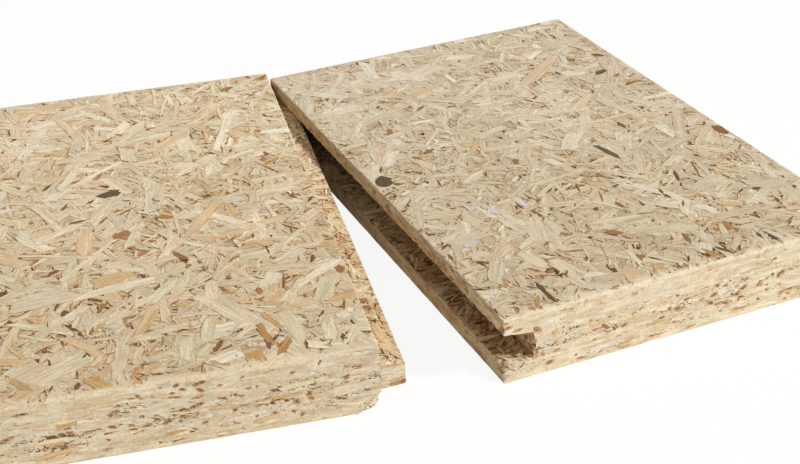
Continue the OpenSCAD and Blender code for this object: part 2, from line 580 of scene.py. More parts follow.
def cut_finish(name, place, tones, voids, contrast, relief):
    """The finish of a side that shows the flakes cut through."""
    material, tree, output = new_material(name)
    cut = use_group(tree, cut_flakes, Place=board_millimetres(tree, place))
    cut.inputs["Voids"].default_value = voids
    fuzz = cut.outputs["Fuzz"]
    wood = colour_ramp(tree, cut.outputs["Tone"], tones)
    share = spread(tree, cut.outputs["Blush"], 0.5, 0.64, 0.0, 0.7)
    wood = tint(tree, "MULTIPLY", share, wood, srgb(250, 236, 220))
    share = math_node(tree, "MULTIPLY", cut.outputs["Line"], 0.45)
    wood = tint(tree, "MULTIPLY", share, wood, srgb(222, 184, 138))
    fleck = spread(tree, fuzz, 0.32, 0.68, 1 - contrast, 1 + 0.5 * contrast)
    wood = tint(tree, "MULTIPLY", 1.0, wood, fleck)
    share = spread(tree, fuzz, 0.44, 0.3, 0.0, 3 * contrast)
    wood = tint(tree, "MULTIPLY", share, wood, srgb(216, 192, 160))
    hollow = attribute(tree, "hollow")["Fac"]
    ragged = math_node(tree, "MULTIPLY", hollow, spread(tree, fuzz, 0.4, 0.58, 0.2, 1.15))
    void = math_node(tree, "ADD", cut.outputs["Void"], math_node(tree, "MINIMUM", hollow, 0.0))
    void = math_node(tree, "MAXIMUM", void, ragged)
    # Painted shade, partly browner wood: voids and the torn fibres of a broken corner are darkened toward the
    # void colours.
    wood = tint(tree, "MIX", spread(tree, void, 0.05, 0.5), wood, srgb(*VOID_RIM_COLOUR))
    wood = tint(tree, "MIX", spread(tree, void, 0.45, 0.95), wood, srgb(*VOID_COLOUR))
    wood_surface(tree, output, wood, spread(tree, fuzz, 0.3, 0.7, 0.95, 0.8), cut.outputs["Height"], relief)
    return material


SAWN_TONES = [(0.0, (203, 187, 159)), (0.3, (213, 198, 170)), (0.6, (220, 206, 178)), (1.0, (231, 218, 192))]
MILLED_TONES = [
    (0.0, (188, 152, 108)),
    (0.3, (208, 180, 137)),
    (0.7, (219, 197, 158)),
    (1.0, (228, 212, 178)),
]
# The bed's brown is partly the browner core and partly painted shade for the pits where it shows between the
# face flakes.
BED_TONES = [(0.0, (130, 98, 64)), (0.5, (160, 126, 88)), (1.0, (186, 154, 112))]
# Void colours: partly the browner wood inside the voids, partly painted shade of their depth.
VOID_RIM_COLOUR = (194, 152, 104)
VOID_COLOUR = (120, 87, 50)


def dress_body(body, name, place, field, sawn_voids, sawn_contrast, milled):
    """Gives each face of a body its finish: milled where the test says so, bed inside the rims."""
    for finish in (
        cut_finish(name + "_sawn", place, SAWN_TONES, sawn_voids, sawn_contrast, 0.2 * MM),
        cut_finish(name + "_milled", place, MILLED_TONES, 0.0, 0.16, 0.18 * MM),
        cut_finish(name + "_bed", place, BED_TONES, 0.0, 0.2, 0.2 * MM),
    ):
        body.data.materials.append(finish)
    x_low, x_high, y_low, y_high = field
    half = THICKNESS / 2
    kinds = []
    for face in body.data.polygons:
        x, y, z = face.center
        in_rims = min(x - x_low, x_high - x, y - y_low, y_high - y) > 0.9 * RIM
        sunk = abs(z - half) >= half - BED_DEPTH - TOUCH
        bed = in_rims and sunk and abs(face.normal.z) > 0.4
        cut_end = abs(face.normal.y) > 0.5
        kinds.append(2 if bed else 1 if milled(face.center) and not cut_end else 0)
    body.data.polygons.foreach_set("material_index", kinds)
    body.data.update()


groove_width = groove_high.x - groove_low.x
groove_length = groove_high.y - groove_low.y
groove_depth = 9.8 * MM
mouth_low, mouth_high = 6.4 * MM, 16.6 * MM
floor_low, floor_high = 7.33 * MM, 15.28 * MM
FLANK_BED = 0.45 * MM
groove_place = Matrix.Translation((groove_low.x, groove_low.y, 0))
GROOVE_SEED = 2

# The least and the most wear of the arrises at low x, high x, low y and high y.
GROOVE_WEAR = ((0.4 * MM, 1.3 * MM), (0.2 * MM, 0.6 * MM), (0.5 * MM, 2.2 * MM), (0.2 * MM, 0.7 * MM))

groove_body = open_section(
    "groove_board_body",
    [0, *np.linspace(groove_depth, groove_width, 16)],
    [
        [0, mouth_low - FLANK_BED, mouth_high, THICKNESS],
        *(16 * [[0, floor_low - FLANK_BED, floor_high, THICKNESS]]),
    ],
)
pick_faces(groove_body, lambda centre, normal: centre.x < groove_depth and mouth_low < centre.z < mouth_high)
bpy.ops.mesh.delete(type="FACE")
run_out(groove_body, groove_length)
sink_faces(groove_body)
cut_fine(groove_body)
lay_out(groove_body, groove_length)


def in_groove(x):
    """Heights of the bed of the groove's lower flank and of its upper flank at x, as far as they run."""
    share = np.clip(x / groove_depth, 0, 1)
    bed = mouth_low - FLANK_BED + share * (floor_low - mouth_low)
    return bed, mouth_high + share * (floor_high - mouth_high)


def on_groove_floor(x, y, z):
    """Which corners lie on the upright floor of the groove."""
    return (abs(x - groove_depth) < TOUCH) & (z > in_groove(x)[0] - TOUCH) & (z < floor_high + TOUCH)


# Chosen voids: spot along the side, level, length and height in mm, and turn in degrees.
GROOVE_END_VOIDS = [
    (40.5, 8.5, 1.87, 1.02, 20), (31, 10, 4.67, 0.68, 8), (29, 13.6, 1.19, 0.77, 40),
    (36, 12.4, 1.7, 0.77, -20), (51, 10.4, 1.36, 0.85, 20), (53.5, 7, 2.89, 1.19, 20),
    (56.6, 10, 1.53, 1.1, 20), (59.6, 9, 2.04, 1.53, 10), (59.3, 13.8, 1.36, 1.02, 70),
    (62.8, 11.6, 2.55, 0.94, 25), (51.5, 1.8, 4.67, 0.77, 4), (17.4, 6.6, 2.55, 1.02, 5),
    (20, 8.6, 1.27, 0.77, 30), (26, 1.4, 4.25, 0.51, 3), (24, 3, 0.85, 0.68, 90),
    (15, 3, 2.89, 1.36, 15), (12.8, 6.6, 1.7, 1.19, -60), (64.5, 1.2, 3.4, 0.59, 5),
    (72.4, 10.2, 2.89, 1.53, 15), (83.2, 10, 3.06, 1.27, 15), (84, 12.6, 1.7, 0.85, 30),
    (89.5, 10.4, 1.7, 0.85, 20), (92, 10.8, 1.7, 0.77, 10), (97, 11, 3.06, 1.7, 30),
    (94.5, 17.2, 1.36, 0.85, 10), (100, 4.4, 7.65, 0.77, 3), (82.5, 2.6, 5.95, 0.51, 5),
    (106, 9.6, 2.55, 1.19, 12), (112, 12, 2.04, 1.1, 20), (119, 8.8, 2.72, 1.02, 8),
    (124, 11.5, 1.7, 0.85, 30), (10.9, 15.6, 3, 2, -30), (10.6, 8.4, 2.4, 1.6, 30),
    (10.3, 12, 1.6, 1.2, 90), (1.2, 18.9, 3, 1.2, 8), (4.6, 17.4, 3.4, 1, 5), (0.6, 20.6, 1.6, 1, 30),
]
GROOVE_WALL_VOIDS = [
    (0.6, 13.6, 2.6, 1.8, 60), (0.4, 10.6, 2.2, 1.6, 20), (2.6, 12, 3, 1.8, 70),
    (2.4, 9.2, 2.6, 1.4, 20), (5, 13.8, 3.4, 1.4, 10), (5.6, 10.4, 3, 1.6, -30),
]
GROOVE_LIP_VOIDS = [(1, 18.6, 3, 2, 0), (2.6, 17.2, 2.4, 1, 10)]
groove_sides = [
    (lambda x, y, z: y < TOUCH, "near", 30, GROOVE_END_VOIDS),
    (lambda x, y, z: y > groove_length - TOUCH, "far", 70, ()),
    (lambda x, y, z: x > groove_width - TOUCH, "right", 110, ()),
    (lambda x, y, z: (x < TOUCH) & (z > mouth_high - TOUCH), "left", 60, GROOVE_LIP_VOIDS),
    (lambda x, y, z: (x < TOUCH) & (z < mouth_low + TOUCH), "left", 30, ()),
    (on_groove_floor, "left", 120, GROOVE_WALL_VOIDS),
    (lambda x, y, z: (x < groove_depth + TOUCH) & (abs(z - in_groove(x)[0]) < TOUCH), "up", 12, ()),
    (lambda x, y, z: (x < groove_depth + TOUCH) & (abs(z - in_groove(x)[1]) < TOUCH), "down", 60, ()),
]
roughen(groove_body, groove_sides)
chip_arris(groove_body, (0, 2, 1), (0, mouth_high), (0.3, 1), 0.7 * MM, (5 * MM, 1.6 * MM), 60)
chip_arris(groove_body, (1, 2, 0), (0, 0), (0.5, 1), 0.4 * MM, (6 * MM, 2 * MM), 62)
chip_arris(groove_body, (0, 1, 2), (groove_depth, 0), (1, 0), 0.8 * MM, (3 * MM, 0.9 * MM), 70)
chip_arris(groove_body, (1, 2, 0), (0, mouth_high), (0, 1), 0.5 * MM, (3 * MM, 1 * MM), 72)
chip_arris(groove_body, (0, 1, 2), (0, 0), (1, 0.5), 0.6 * MM, (3 * MM, 1 * MM), 74)
groove_corner = (0, 0, mouth_low)
groove_legs = (8 * MM, 6 * MM, -5.5 * MM)
groove_ledges = ((0.9 * MM, 0.1), (2 * MM, 0.4), (3.2 * MM, 0.2), (4.5 * MM, 0.35), (mouth_low, 0.1))
break_corner(groove_body, groove_corner, groove_legs, groove_ledges, 0.9)
groove_field = (0, groove_width, 0, groove_length)
set_places(groove_body, worn_twice(places_of(groove_body.data), groove_field, GROOVE_WEAR, GROOVE_SEED))
dress_body(
    groove_body, "groove_board", groove_place, groove_field, 0.02, 0.13,
    lambda centre: centre.x < groove_depth + 0.5 * MM and centre.z < THICKNESS - BED_DEPTH,
)
groove_body.data.transform(groove_place)

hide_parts("groove_board")
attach(groove_body, "root")


# ---------------------------------------------------------------------------------------------
# Body of the tongue board
# The same board, with a tongue milled along its edge instead: it stands out of the shoulder,
# thins a little towards its tip and has rounded tip edges. A corner has broken off under it.

tongue_mounts = {mount["name"]: mount for mount in frame["record"]["mounts"]}
tongue_way = Vector(tongue_mounts["tongue_tip"]["axis"])
spread_angle = math.atan2(-tongue_way.y, tongue_way.x)
TONGUE_REACH = 7.4 * MM
TIP_ROUND = 0.8 * MM
tongue_length = 208 * MM
tongue_width = 129 * MM
near_shoulder = Vector((
    tongue_high.x - TONGUE_REACH * tongue_way.x - tongue_length * math.sin(spread_angle),
    tongue_low.y + TONGUE_REACH * math.sin(spread_angle),
    0,
))
tongue_place = Matrix.Translation(near_shoulder) @ Matrix.Rotation(-spread_angle, 4, "Z")
root_low, root_high = 7.3 * MM, 16.3 * MM
tip_low, tip_high = 8.0 * MM, 15.3 * MM
TONGUE_SEED = 11
TONGUE_WEAR = ((0.2 * MM, 0.6 * MM), (0.3 * MM, 0.9 * MM), (0.8 * MM, 2.8 * MM), (0.2 * MM, 0.7 * MM))

tongue_body = open_section(
    "tongue_board_body",
    [*np.linspace(-tongue_width, 0, 17), TONGUE_REACH],
    17 * [[0, root_low, root_high - FLANK_BED, THICKNESS]] + [[0, tip_low, tip_high - FLANK_BED, THICKNESS]],
)
pick_faces(tongue_body, lambda centre, normal: centre.x > 0 and not root_low < centre.z < root_high)
bpy.ops.mesh.delete(type="FACE")
run_out(tongue_body, tongue_length)
sink_faces(tongue_body)
cut_fine(tongue_body)
lay_out(tongue_body, tongue_length)


def on_tongue(x):
    """Heights of the tongue's lower flank and of the bed of its upper flank at x, as far as they run."""
    share = np.clip(x / TONGUE_REACH, 0, 1)
    bed = root_high - FLANK_BED + share * (tip_high - root_high)
    return root_low + share * (tip_low - root_low), bed


TONGUE_END_VOIDS = [
    (-25.5, 17.8, 2.04, 0.85, 30), (-30.3, 13.5, 3.4, 1.36, 15), (-20, 13.2, 2.38, 1.53, -30),
    (-17.4, 19.8, 1.87, 0.59, 60), (-52.3, 15, 3.82, 0.85, 10), (-53.3, 12.1, 5.1, 1.19, 18),
    (-45.7, 13.1, 2.89, 0.85, -15), (-47, 11, 1.36, 0.85, 30), (-40.5, 9.6, 3.91, 0.77, 4),
    (-36, 10, 1.53, 1.02, 20), (-33.9, 10.3, 2.55, 0.59, 10), (-38.3, 15.1, 2.04, 0.94, 5),
    (-35.7, 15.2, 0.85, 0.77, 60), (-42, 13.7, 1.02, 0.77, 20), (-30.6, 10, 1.7, 1.02, 60),
    (-25.1, 7.9, 1.7, 1.02, 20), (-21.2, 9.9, 2.04, 1.53, 40), (-26, 4.7, 1.36, 1.1, -60),
    (-23.5, 3.2, 1.87, 1.19, 30), (-31, 5.1, 2.38, 0.77, -30), (-36.5, 5.3, 1.02, 0.85, 30),
    (-36.1, 3.6, 3.06, 0.94, 5), (-42.8, 5.6, 2.55, 0.85, 20), (-46.6, 1, 3.4, 0.68, 4),
    (-64.1, 2.2, 1.36, 1.19, 60), (-61.3, 6.5, 2.89, 0.68, 3), (-51.3, 6.1, 2.04, 1.02, 5),
    (-61.4, 8.4, 2.89, 1.02, 15), (-58.9, 16.1, 3.82, 0.59, -5), (-39.5, 18.8, 1.36, 0.77, 80),
    (-75.9, 14.2, 3.6, 1.6, 20), (-83.5, 9.4, 3.4, 1.02, 10), (-106.3, 11, 4.25, 1.36, 12),
    (-99.5, 14.9, 2.89, 1.02, 10), (-79.4, 2.6, 3.4, 0.77, 5), (-70, 18.5, 3.4, 0.77, 10),
    (-101, 18.6, 4.25, 0.85, 8), (-96, 3.2, 5.1, 0.94, 4), (-10, 12.4, 2.21, 1.53, 60),
    (-12, 6.4, 4.25, 0.85, -20), (-6.4, 16, 2.04, 0.85, 30), (-118, 12, 5.1, 1.1, 10),
    (-122, 6, 3.4, 0.94, 10), (-114, 17, 4.25, 0.77, 5),
]
TONGUE_TIP_VOIDS = [(3, 8.3, 4, 0.8, 5), (6.6, 8.6, 1.6, 1, 20)]
tongue_sides = [
    (lambda x, y, z: (y < TOUCH) & (x < TOUCH), "near", 60, TONGUE_END_VOIDS),
    (lambda x, y, z: (y < TOUCH) & (x > TOUCH), "near", 0, TONGUE_TIP_VOIDS),
    (lambda x, y, z: y > tongue_length - TOUCH, "far", 140, ()),
    (lambda x, y, z: x < -tongue_width + TOUCH, "left", 220, ()),
    (lambda x, y, z: (abs(x) < TOUCH) & (z > root_high - TOUCH), "right", 40, ()),
    (lambda x, y, z: (abs(x) < TOUCH) & (z < root_low + TOUCH), "right", 40, ()),
    (lambda x, y, z: x > TONGUE_REACH - TOUCH, "right", 60, ()),
    (lambda x, y, z: (x > -TOUCH) & (abs(z - on_tongue(x)[1]) < TOUCH), "up", 40, ()),
    (lambda x, y, z: (x > -TOUCH) & (abs(z - on_tongue(x)[0]) < TOUCH), "down", 40, ()),
]


def round_tip(board):
    """Rounds the two long edges of the tongue's tip."""
    places = places_of(board.data)
    middle = (tip_low + tip_high) / 2
    off_middle = (tip_high - tip_low) / 2 - TIP_ROUND
    for side in (-1, 1):
        centre = np.array((TONGUE_REACH - TIP_ROUND, middle + side * off_middle))
        out = places[:, (0, 2)] - centre
        reach = np.linalg.norm(out, axis=1)
        over = (out[:, 0] > 0) & (side * out[:, 1] > 0) & (reach > TIP_ROUND)
        round_off = centre + out[over] * (TIP_ROUND / reach[over])[:, None]
        places[over, 0], places[over, 2] = round_off.T
    set_places(board, places)


round_tip(tongue_body)
roughen(tongue_body, tongue_sides)
chip_arris(tongue_body, (1, 2, 0), (0, 0), (0.5, 1), 0.4 * MM, (6 * MM, 2 * MM), 66)
tongue_corner = (0, 0, 0)
tongue_legs = (-7.3 * MM, 10 * MM, 6.9 * MM)
tongue_ledges = (
    (0, 0.15), (0.6 * MM, 0.3), (2.3 * MM, 0.52), (4.4 * MM, 0.26), (5.6 * MM, 0.0), (6.6 * MM, 0.3)
)
break_corner(tongue_body, tongue_corner, tongue_legs, tongue_ledges, 0.4)
tongue_field = (-tongue_width, 0, 0, tongue_length)
set_places(tongue_body, worn_twice(places_of(tongue_body.data), tongue_field, TONGUE_WEAR, TONGUE_SEED))
dress_body(
    tongue_body, "tongue_board", tongue_place, tongue_field, 0.03, 0.16,
    lambda centre: centre.x > -0.5 * MM and centre.z < THICKNESS - BED_DEPTH,
)
tongue_body.data.transform(tongue_place)

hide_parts("tongue_board")
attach(tongue_body, "root")


# ---------------------------------------------------------------------------------------------
# Face flakes of the groove board
# Flat splinters of softwood, 1 to 35 mm long, that lie crosswise in many layers with finer
# splinters between them, pressed flush. Dark slots follow the flakes' sides where they don't meet;
# their dark is painted shade of those gaps, partly resin-stained wood.

FLAKE_THICKNESS = 0.3 * MM
FINE_WIDTH = 1.15 * MM
SQUARE_CM = 100 * MM**2
UNDERSIDE_PER_CM2 = 6
DARK_TONE = 0.14
KEEN_RATIO = 2.2
BLUNT = 0.5
UNDER_OWNER = 1e-5

# Flakes laid one by one have an order from LAID_FROM, slits between them one from SLITS_FROM.
LAID_FROM = 1.0
SLITS_FROM = 1.02
LAID_SPAN = 0.01

# How flakes are pressed: the relief of a face and the tilt of its flakes.
FLUSH = (0.3 * MM, 0.009)
LESS_FLUSH = (0.45 * MM, 0.014)

# How near to the face a flake's top may come: the first ones stay lower, and of those laid one by one
# each lies a little over the one before it.
LIFT_SPARE = 0.02 * MM
CEILING_FALL = 0.04 * MM
LAID_RISE = 0.33 * MM
BROAD_LIFT = 0.08 * MM
OTHERS_SINK = 0.005 * MM

# Unevenness of a flake's top, of which its ceiling keeps a trace, and the drop of its tips.
ROUGHNESS = 0.018 * MM
CEILING_ROUGH = 0.03
TIP_DROP = 0.02 * MM
TOP_CELLS = ((1, 1), (2, 1), (4, 1), (5, 2))

# A flake is kept if it shows in some cells of a grid.
SIGHT_CELL = 0.3 * MM
SEEN_CELLS = 3
MERGE = 1e-6
SMOOTH_ANGLE = math.radians(25)
MAP_ROOM = 1.02
MAP_STEP = 1.01


def nest_share(x, y, nests):
    """How much of what is dark and loose gathers at each place; nests are its noise seed and its fade."""
    seed, fade = nests
    spots = np.stack([x, y, 0 * x], 1)
    return np.exp(2.6 * waves(spots, (15 * MM, 15 * MM, 1), seed) + 0.3 - y / fade)


def count_on(field, per_cm2):
    """How many flakes a field takes."""
    x_low, x_high, y_low, y_high = field
    return int(per_cm2 * (x_high - x_low) * (y_high - y_low) / SQUARE_CM)


def draw_flakes(rng, field, recipe):
    """Draws loose flakes over a field: where they lie, how they turn, and their length and width.

    Tone is where a flake's colour lies on its board's ramp, order when it fell, later ones on top, and
    keen how pointed it is: 1 at both ends, BLUNT or 0."""
    x_low, x_high, y_low, y_high = field
    count = count_on(field, recipe["per_cm2"])
    middle, spread_out, least, most = recipe["long"]
    long = np.clip(middle * np.exp(rng.normal(0, spread_out, count)), least, most)
    middle, spread_out, least, most = recipe["wide"]
    wide = np.clip(middle * np.exp(rng.normal(0, spread_out, count)), least, np.minimum(most, long / 1.6))
    x = rng.uniform(x_low - 2 * MM, x_high + 2 * MM, count)
    y = rng.uniform(y_low - 2 * MM, y_high + 2 * MM, count)
    odd = rng.uniform(0, 1, count) < recipe["odd"] * nest_share(x, y, recipe["nests"])
    return {
        "x": x,
        "y": y,
        "turn": rng.uniform(0, math.pi, count),
        "long": long,
        "wide": wide,
        "tone": np.where(odd, rng.uniform(*recipe["odd_tone"], count), rng.uniform(*recipe["tone"], count)),
        "order": rng.uniform(*recipe["order"], count),
        "keen": np.zeros(count),
    }


def draw_shade_slots(rng, flakes, count, long, wide, nests):
    """Draws dark slots that follow one side of randomly picked flakes, half under them: painted shade of the
    gaps there, partly resin-stained wood.
    """
    chance = flakes["long"] * nest_share(flakes["x"], flakes["y"], nests)
    owner = rng.choice(len(flakes["x"]), count, p=chance / chance.sum())
    turn = flakes["turn"][owner] + rng.normal(0, 0.08, count)
    side = rng.choice([-1, 1], count) * 0.5 * flakes["wide"][owner]
    along = rng.uniform(-0.45, 0.45, count) * flakes["long"][owner]
    return {
        "x": flakes["x"][owner] + along * np.cos(turn) - side * np.sin(turn),
        "y": flakes["y"][owner] + along * np.sin(turn) + side * np.cos(turn),
        "turn": turn,
        "long": np.minimum(rng.uniform(*long, count), 0.8 * flakes["long"][owner]),
        "wide": rng.uniform(*wide, count),
        "tone": rng.uniform(0.0, DARK_TONE, count),
        "order": flakes["order"][owner] - UNDER_OWNER,
        "keen": np.ones(count),
    }


def chosen_flakes(rows, order):
    """Single flakes laid one by one: x, y, length and width in mm, turn in degrees, and tone."""
    x, y, long, wide, turn, tone = np.array(rows, float).reshape(-1, 6).T
    return {
        "x": x * MM,
        "y": y * MM,
        "turn": np.radians(turn),
        "long": long * MM,
        "wide": wide * MM,
        "tone": tone,
        "order": np.linspace(order, order + LAID_SPAN, len(x)),
        "keen": np.where(tone < DARK_TONE, np.where(long > KEEN_RATIO * wide, 1, BLUNT), 0),
    }


def pile_up(*heaps):
    """Puts several heaps of flakes together."""
    return {key: np.concatenate([heap[key] for heap in heaps]) for key in heaps[0]}


def settle(rng, heap, relief, tilt):
    """Presses the flakes: the later a flake comes, the nearer its top is to the face.

    Those that are laid one by one, from order 1, lie flat, and the broad ones on top of all others. Each
    flake has a ceiling of its own, so that no two tops lie in one plane."""
    count = len(heap["x"])
    order = heap["order"]
    laid = order >= LAID_FROM
    broad = laid & (order < SLITS_FROM)
    rank = np.argsort(np.argsort(order)) / count
    heap["rank"] = rank
    over = np.where(laid, LAID_RISE * (order - LAID_FROM), -OTHERS_SINK)
    heap["ceiling"] = -LIFT_SPARE - CEILING_FALL * (1 - rank) + over
    heap["top"] = -LIFT_SPARE - relief * (1 - rank) ** 1.2 + BROAD_LIFT * broad
    heap["rise"] = np.clip(rng.normal(0, tilt, count), -2 * tilt, 2 * tilt)
    heap["rise"] *= np.minimum(1, 6 * MM / heap["long"])
    heap["roll"] = np.clip(rng.normal(0, tilt, count), -2 * tilt, 2 * tilt)
    heap["rise"][laid] = 0
    heap["roll"][laid] = 0


def only_seen(heap, field):
    """Leaves out the flakes that the others hide, and notes how much shows of each that is kept.

    What shows is counted on a grid of fine cells."""
    x_low, x_high, y_low, y_high = field
    columns = int((x_high - x_low) / SIGHT_CELL)
    rows = int((y_high - y_low) / SIGHT_CELL)
    highest = np.full((rows, columns), -1.0)
    owner = np.full((rows, columns), -1)
    for index in range(len(heap["x"])):
        x, y, turn, long, wide = (heap[key][index] for key in ("x", "y", "turn", "long", "wide"))
        span_x = 0.5 * (long * abs(math.cos(turn)) + wide * abs(math.sin(turn)))
        span_y = 0.5 * (long * abs(math.sin(turn)) + wide * abs(math.cos(turn)))
        left = max(int((x - span_x - x_low) / SIGHT_CELL), 0)
        right = min(int((x + span_x - x_low) / SIGHT_CELL) + 1, columns)
        near = max(int((y - span_y - y_low) / SIGHT_CELL), 0)
        far = min(int((y + span_y - y_low) / SIGHT_CELL) + 1, rows)
        if left >= right or near >= far:
            continue
        off_x = x_low + (np.arange(left, right) + 0.5) * SIGHT_CELL - x
        off_y = y_low + (np.arange(near, far)[:, None] + 0.5) * SIGHT_CELL - y
        along = off_x * math.cos(turn) + off_y * math.sin(turn)
        across = off_y * math.cos(turn) - off_x * math.sin(turn)
        top = heap["top"][index] + heap["rise"][index] * along + heap["roll"][index] * across
        patch = highest[near:far, left:right]
        shows = (abs(along) < long / 2) & (abs(across) < wide / 2) & (top > patch)
        patch[shows] = top[shows]
        owner[near:far, left:right][shows] = index
    cells = np.bincount(owner[owner >= 0], minlength=len(heap["x"]))
    heap["share"] = cells * SIGHT_CELL**2 / (heap["long"] * heap["wide"])
    kept = cells >= SEEN_CELLS
    return {key: values[kept] for key, values in heap.items()}


def shape_flakes(rng, heap, along_cells, across_cells):
    """Corners of a like group of flakes: a bent grid for each top, and an outline under it.

    Returns the places, their attributes and the face lists. The attributes are the grain (mm along,
    mm across, flake), the lie (side from -1 to 1, half width in mm, rank) and under (1 below)."""
    count = len(heap["x"])
    ends, sides = np.linspace(-0.5, 0.5, along_cells + 1), np.linspace(-0.5, 0.5, across_cells + 1)
    lengthwise, crosswise = (grid.ravel()[None] for grid in np.meshgrid(ends, sides))
    long, wide, keen = (heap[key][:, None] for key in ("long", "wide", "keen"))

    def per_flake(low, high):
        return rng.uniform(low, high, (count, 1))

    def per_end(low, high):
        return np.where(lengthwise < 0, per_flake(low, high), per_flake(low, high))

    slant = per_end(-1.1, 1.1) * np.minimum(1, 0.3 * long / wide)
    slant = np.where(keen == BLUNT, 0.2 * slant, slant)
    pointed = np.where(keen > 0, per_end(0.6, 0.95), per_end(-1.0, 0.9).clip(0, 1))
    pointed = np.where(keen == BLUNT, 0.55, pointed)
    tip = (2 * abs(lengthwise)) ** 4
    bow = per_flake(-0.035, 0.035) * long
    along = long * lengthwise + wide * crosswise * slant * tip
    across = wide * crosswise * (1 - pointed * tip) + 0.5 * wide * pointed * per_end(-1, 1) * tip
    across += bow * (1 - 4 * lengthwise**2) + wide * 0.045 * rng.normal(0, 1, (count, lengthwise.size))
    along += (abs(lengthwise) > 0.49) * wide * rng.uniform(-0.15, 0.15, (count, lengthwise.size))
    level = heap["top"][:, None] + heap["rise"][:, None] * along + heap["roll"][:, None] * across
    rough = rng.normal(0, ROUGHNESS, (count, lengthwise.size))
    level += rough - TIP_DROP * tip
    turn = heap["turn"][:, None]
    x = heap["x"][:, None] + along * np.cos(turn) - across * np.sin(turn)
    y = heap["y"][:, None] + along * np.sin(turn) + across * np.cos(turn)
    ceiling = heap["ceiling"][:, None] + CEILING_ROUGH * rough
    top = np.stack([x, y, np.minimum(level, ceiling)], 2)
    grain = np.stack([along / MM, across / MM, heap["number"][:, None] + 0 * along], 2)
    half_width, rank = 0.5 * wide / MM, heap["rank"][:, None]
    lie = np.stack([2 * crosswise + 0 * along, half_width + 0 * along, rank + 0 * along], 2)

    columns = along_cells + 1
    near = list(range(columns))
    right = [columns * row + columns - 1 for row in range(1, across_cells + 1)]
    far = [columns * across_cells + column for column in range(columns - 2, -1, -1)]
    left = [columns * row for row in range(across_cells - 1, 0, -1)]
    rim = near + right + far + left
    corners = {
        "place": np.concatenate([top, top[:, rim] - (0, 0, FLAKE_THICKNESS)], 1),
        "grain": np.concatenate([grain, grain[:, rim]], 1),
        "lie": np.concatenate([lie, lie[:, rim]], 1),
        "under": np.concatenate([0 * along, 1 + 0 * along[:, rim]], 1),
    }
    faces = [
        (corner, corner + 1, corner + columns + 1, corner + columns)
        for row in range(across_cells)
        for corner in range(columns * row, columns * row + along_cells)
    ]
    first = columns * (across_cells + 1)
    for step, corner in enumerate(rim):
        after = (step + 1) % len(rim)
        faces.append((corner, first + step, first + after, rim[after]))
    faces.append(tuple(first + step for step in reversed(range(len(rim)))))
    return corners, faces


def flake_mesh(name, rng, heap, first_number=0):
    """Joins all flakes of a heap into one object; the smaller a flake is, the fewer cells its top has."""
    heap["number"] = first_number + np.arange(len(heap["x"]), dtype=float)
    long, wide = heap["long"], heap["wide"]
    fine = wide < FINE_WIDTH
    short, medium = long < 3.5 * MM, long < 6 * MM
    size = np.select([fine & short, fine | medium, wide < 2.2 * MM], [0, 1, 2], default=3)
    parts = {"place": [], "grain": [], "lie": [], "under": [], "tone": [], "share": []}
    faces = []
    first = 0
    for kind, cells in enumerate(TOP_CELLS):
        group = {key: values[size == kind] for key, values in heap.items()}
        if not len(group["x"]):
            continue
        corners, pattern = shape_flakes(rng, group, *cells)
        count, each = corners["under"].shape
        starts = first + each * np.arange(count)
        faces += [tuple(start + corner for corner in face) for start in starts.tolist() for face in pattern]
        for key, values in corners.items():
            parts[key].append(values.reshape(count * each, -1))
        for key in ("tone", "share"):
            parts[key].append(np.repeat(group[key], each))
        first += count * each
    mesh = bpy.data.meshes.new(name)
    mesh.from_pydata(np.concatenate(parts["place"]), [], faces)
    vectors, numbers = ("FLOAT_VECTOR", "vector"), ("FLOAT", "value")
    kinds = {"grain": vectors, "lie": vectors, "under": numbers, "tone": numbers, "share": numbers}
    for key, (kind, value) in kinds.items():
        layer = mesh.attributes.new(key, kind, "POINT")
        layer.data.foreach_set(value, np.concatenate(parts[key]).ravel())
    flakes = bpy.data.objects.new(name, mesh)
    bpy.context.scene.collection.objects.link(flakes)
    return flakes


def select_only(thing):
    """Makes one object the only selected one and the active one."""
    bpy.ops.object.select_all(action="DESELECT")
    thing.select_set(True)
    bpy.context.view_layer.objects.active = thing


def trim(flakes, point, outwards, creases=()):
    """Saws the flakes off along a plane and closes their ends, with creases a little inside it."""
    select_only(flakes)
    bpy.ops.object.mode_set(mode="EDIT")
    for crease in creases:
        bpy.ops.mesh.select_all(action="SELECT")
        inside = Vector(point) - crease * Vector(outwards).normalized()
        bpy.ops.mesh.bisect(plane_co=inside, plane_no=outwards, threshold=MERGE)
    bpy.ops.mesh.select_all(action="SELECT")
    bpy.ops.mesh.bisect(plane_co=point, plane_no=outwards, threshold=MERGE, clear_outer=True)
    bpy.ops.mesh.fill_holes(sides=0)
    bpy.ops.object.mode_set(mode="OBJECT")


def trim_to_field(flakes, field, wear):
    """Saws the flakes off flush with the four sides of a field, and creases them where it is worn."""
    x_low, x_high, y_low, y_high = field
    planes = (
        ((x_low, 0, 0), (-1, 0, 0)),
        ((x_high, 0, 0), (1, 0, 0)),
        ((0, y_low, 0), (0, -1, 0)),
        ((0, y_high, 0), (0, 1, 0)),
    )
    for (point, outwards), (least, most) in zip(planes, wear):
        creases = (0.45 * most, most) if most > 0.8 * MM else (most,)
        trim(flakes, point, outwards, creases)


def split_heap(heap):
    """Parts a heap into its flakes and its fine splinters and slots."""
    fine = heap["wide"] < FINE_WIDTH
    return [{key: values[chosen] for key, values in heap.items()} for chosen in (~fine, fine)]
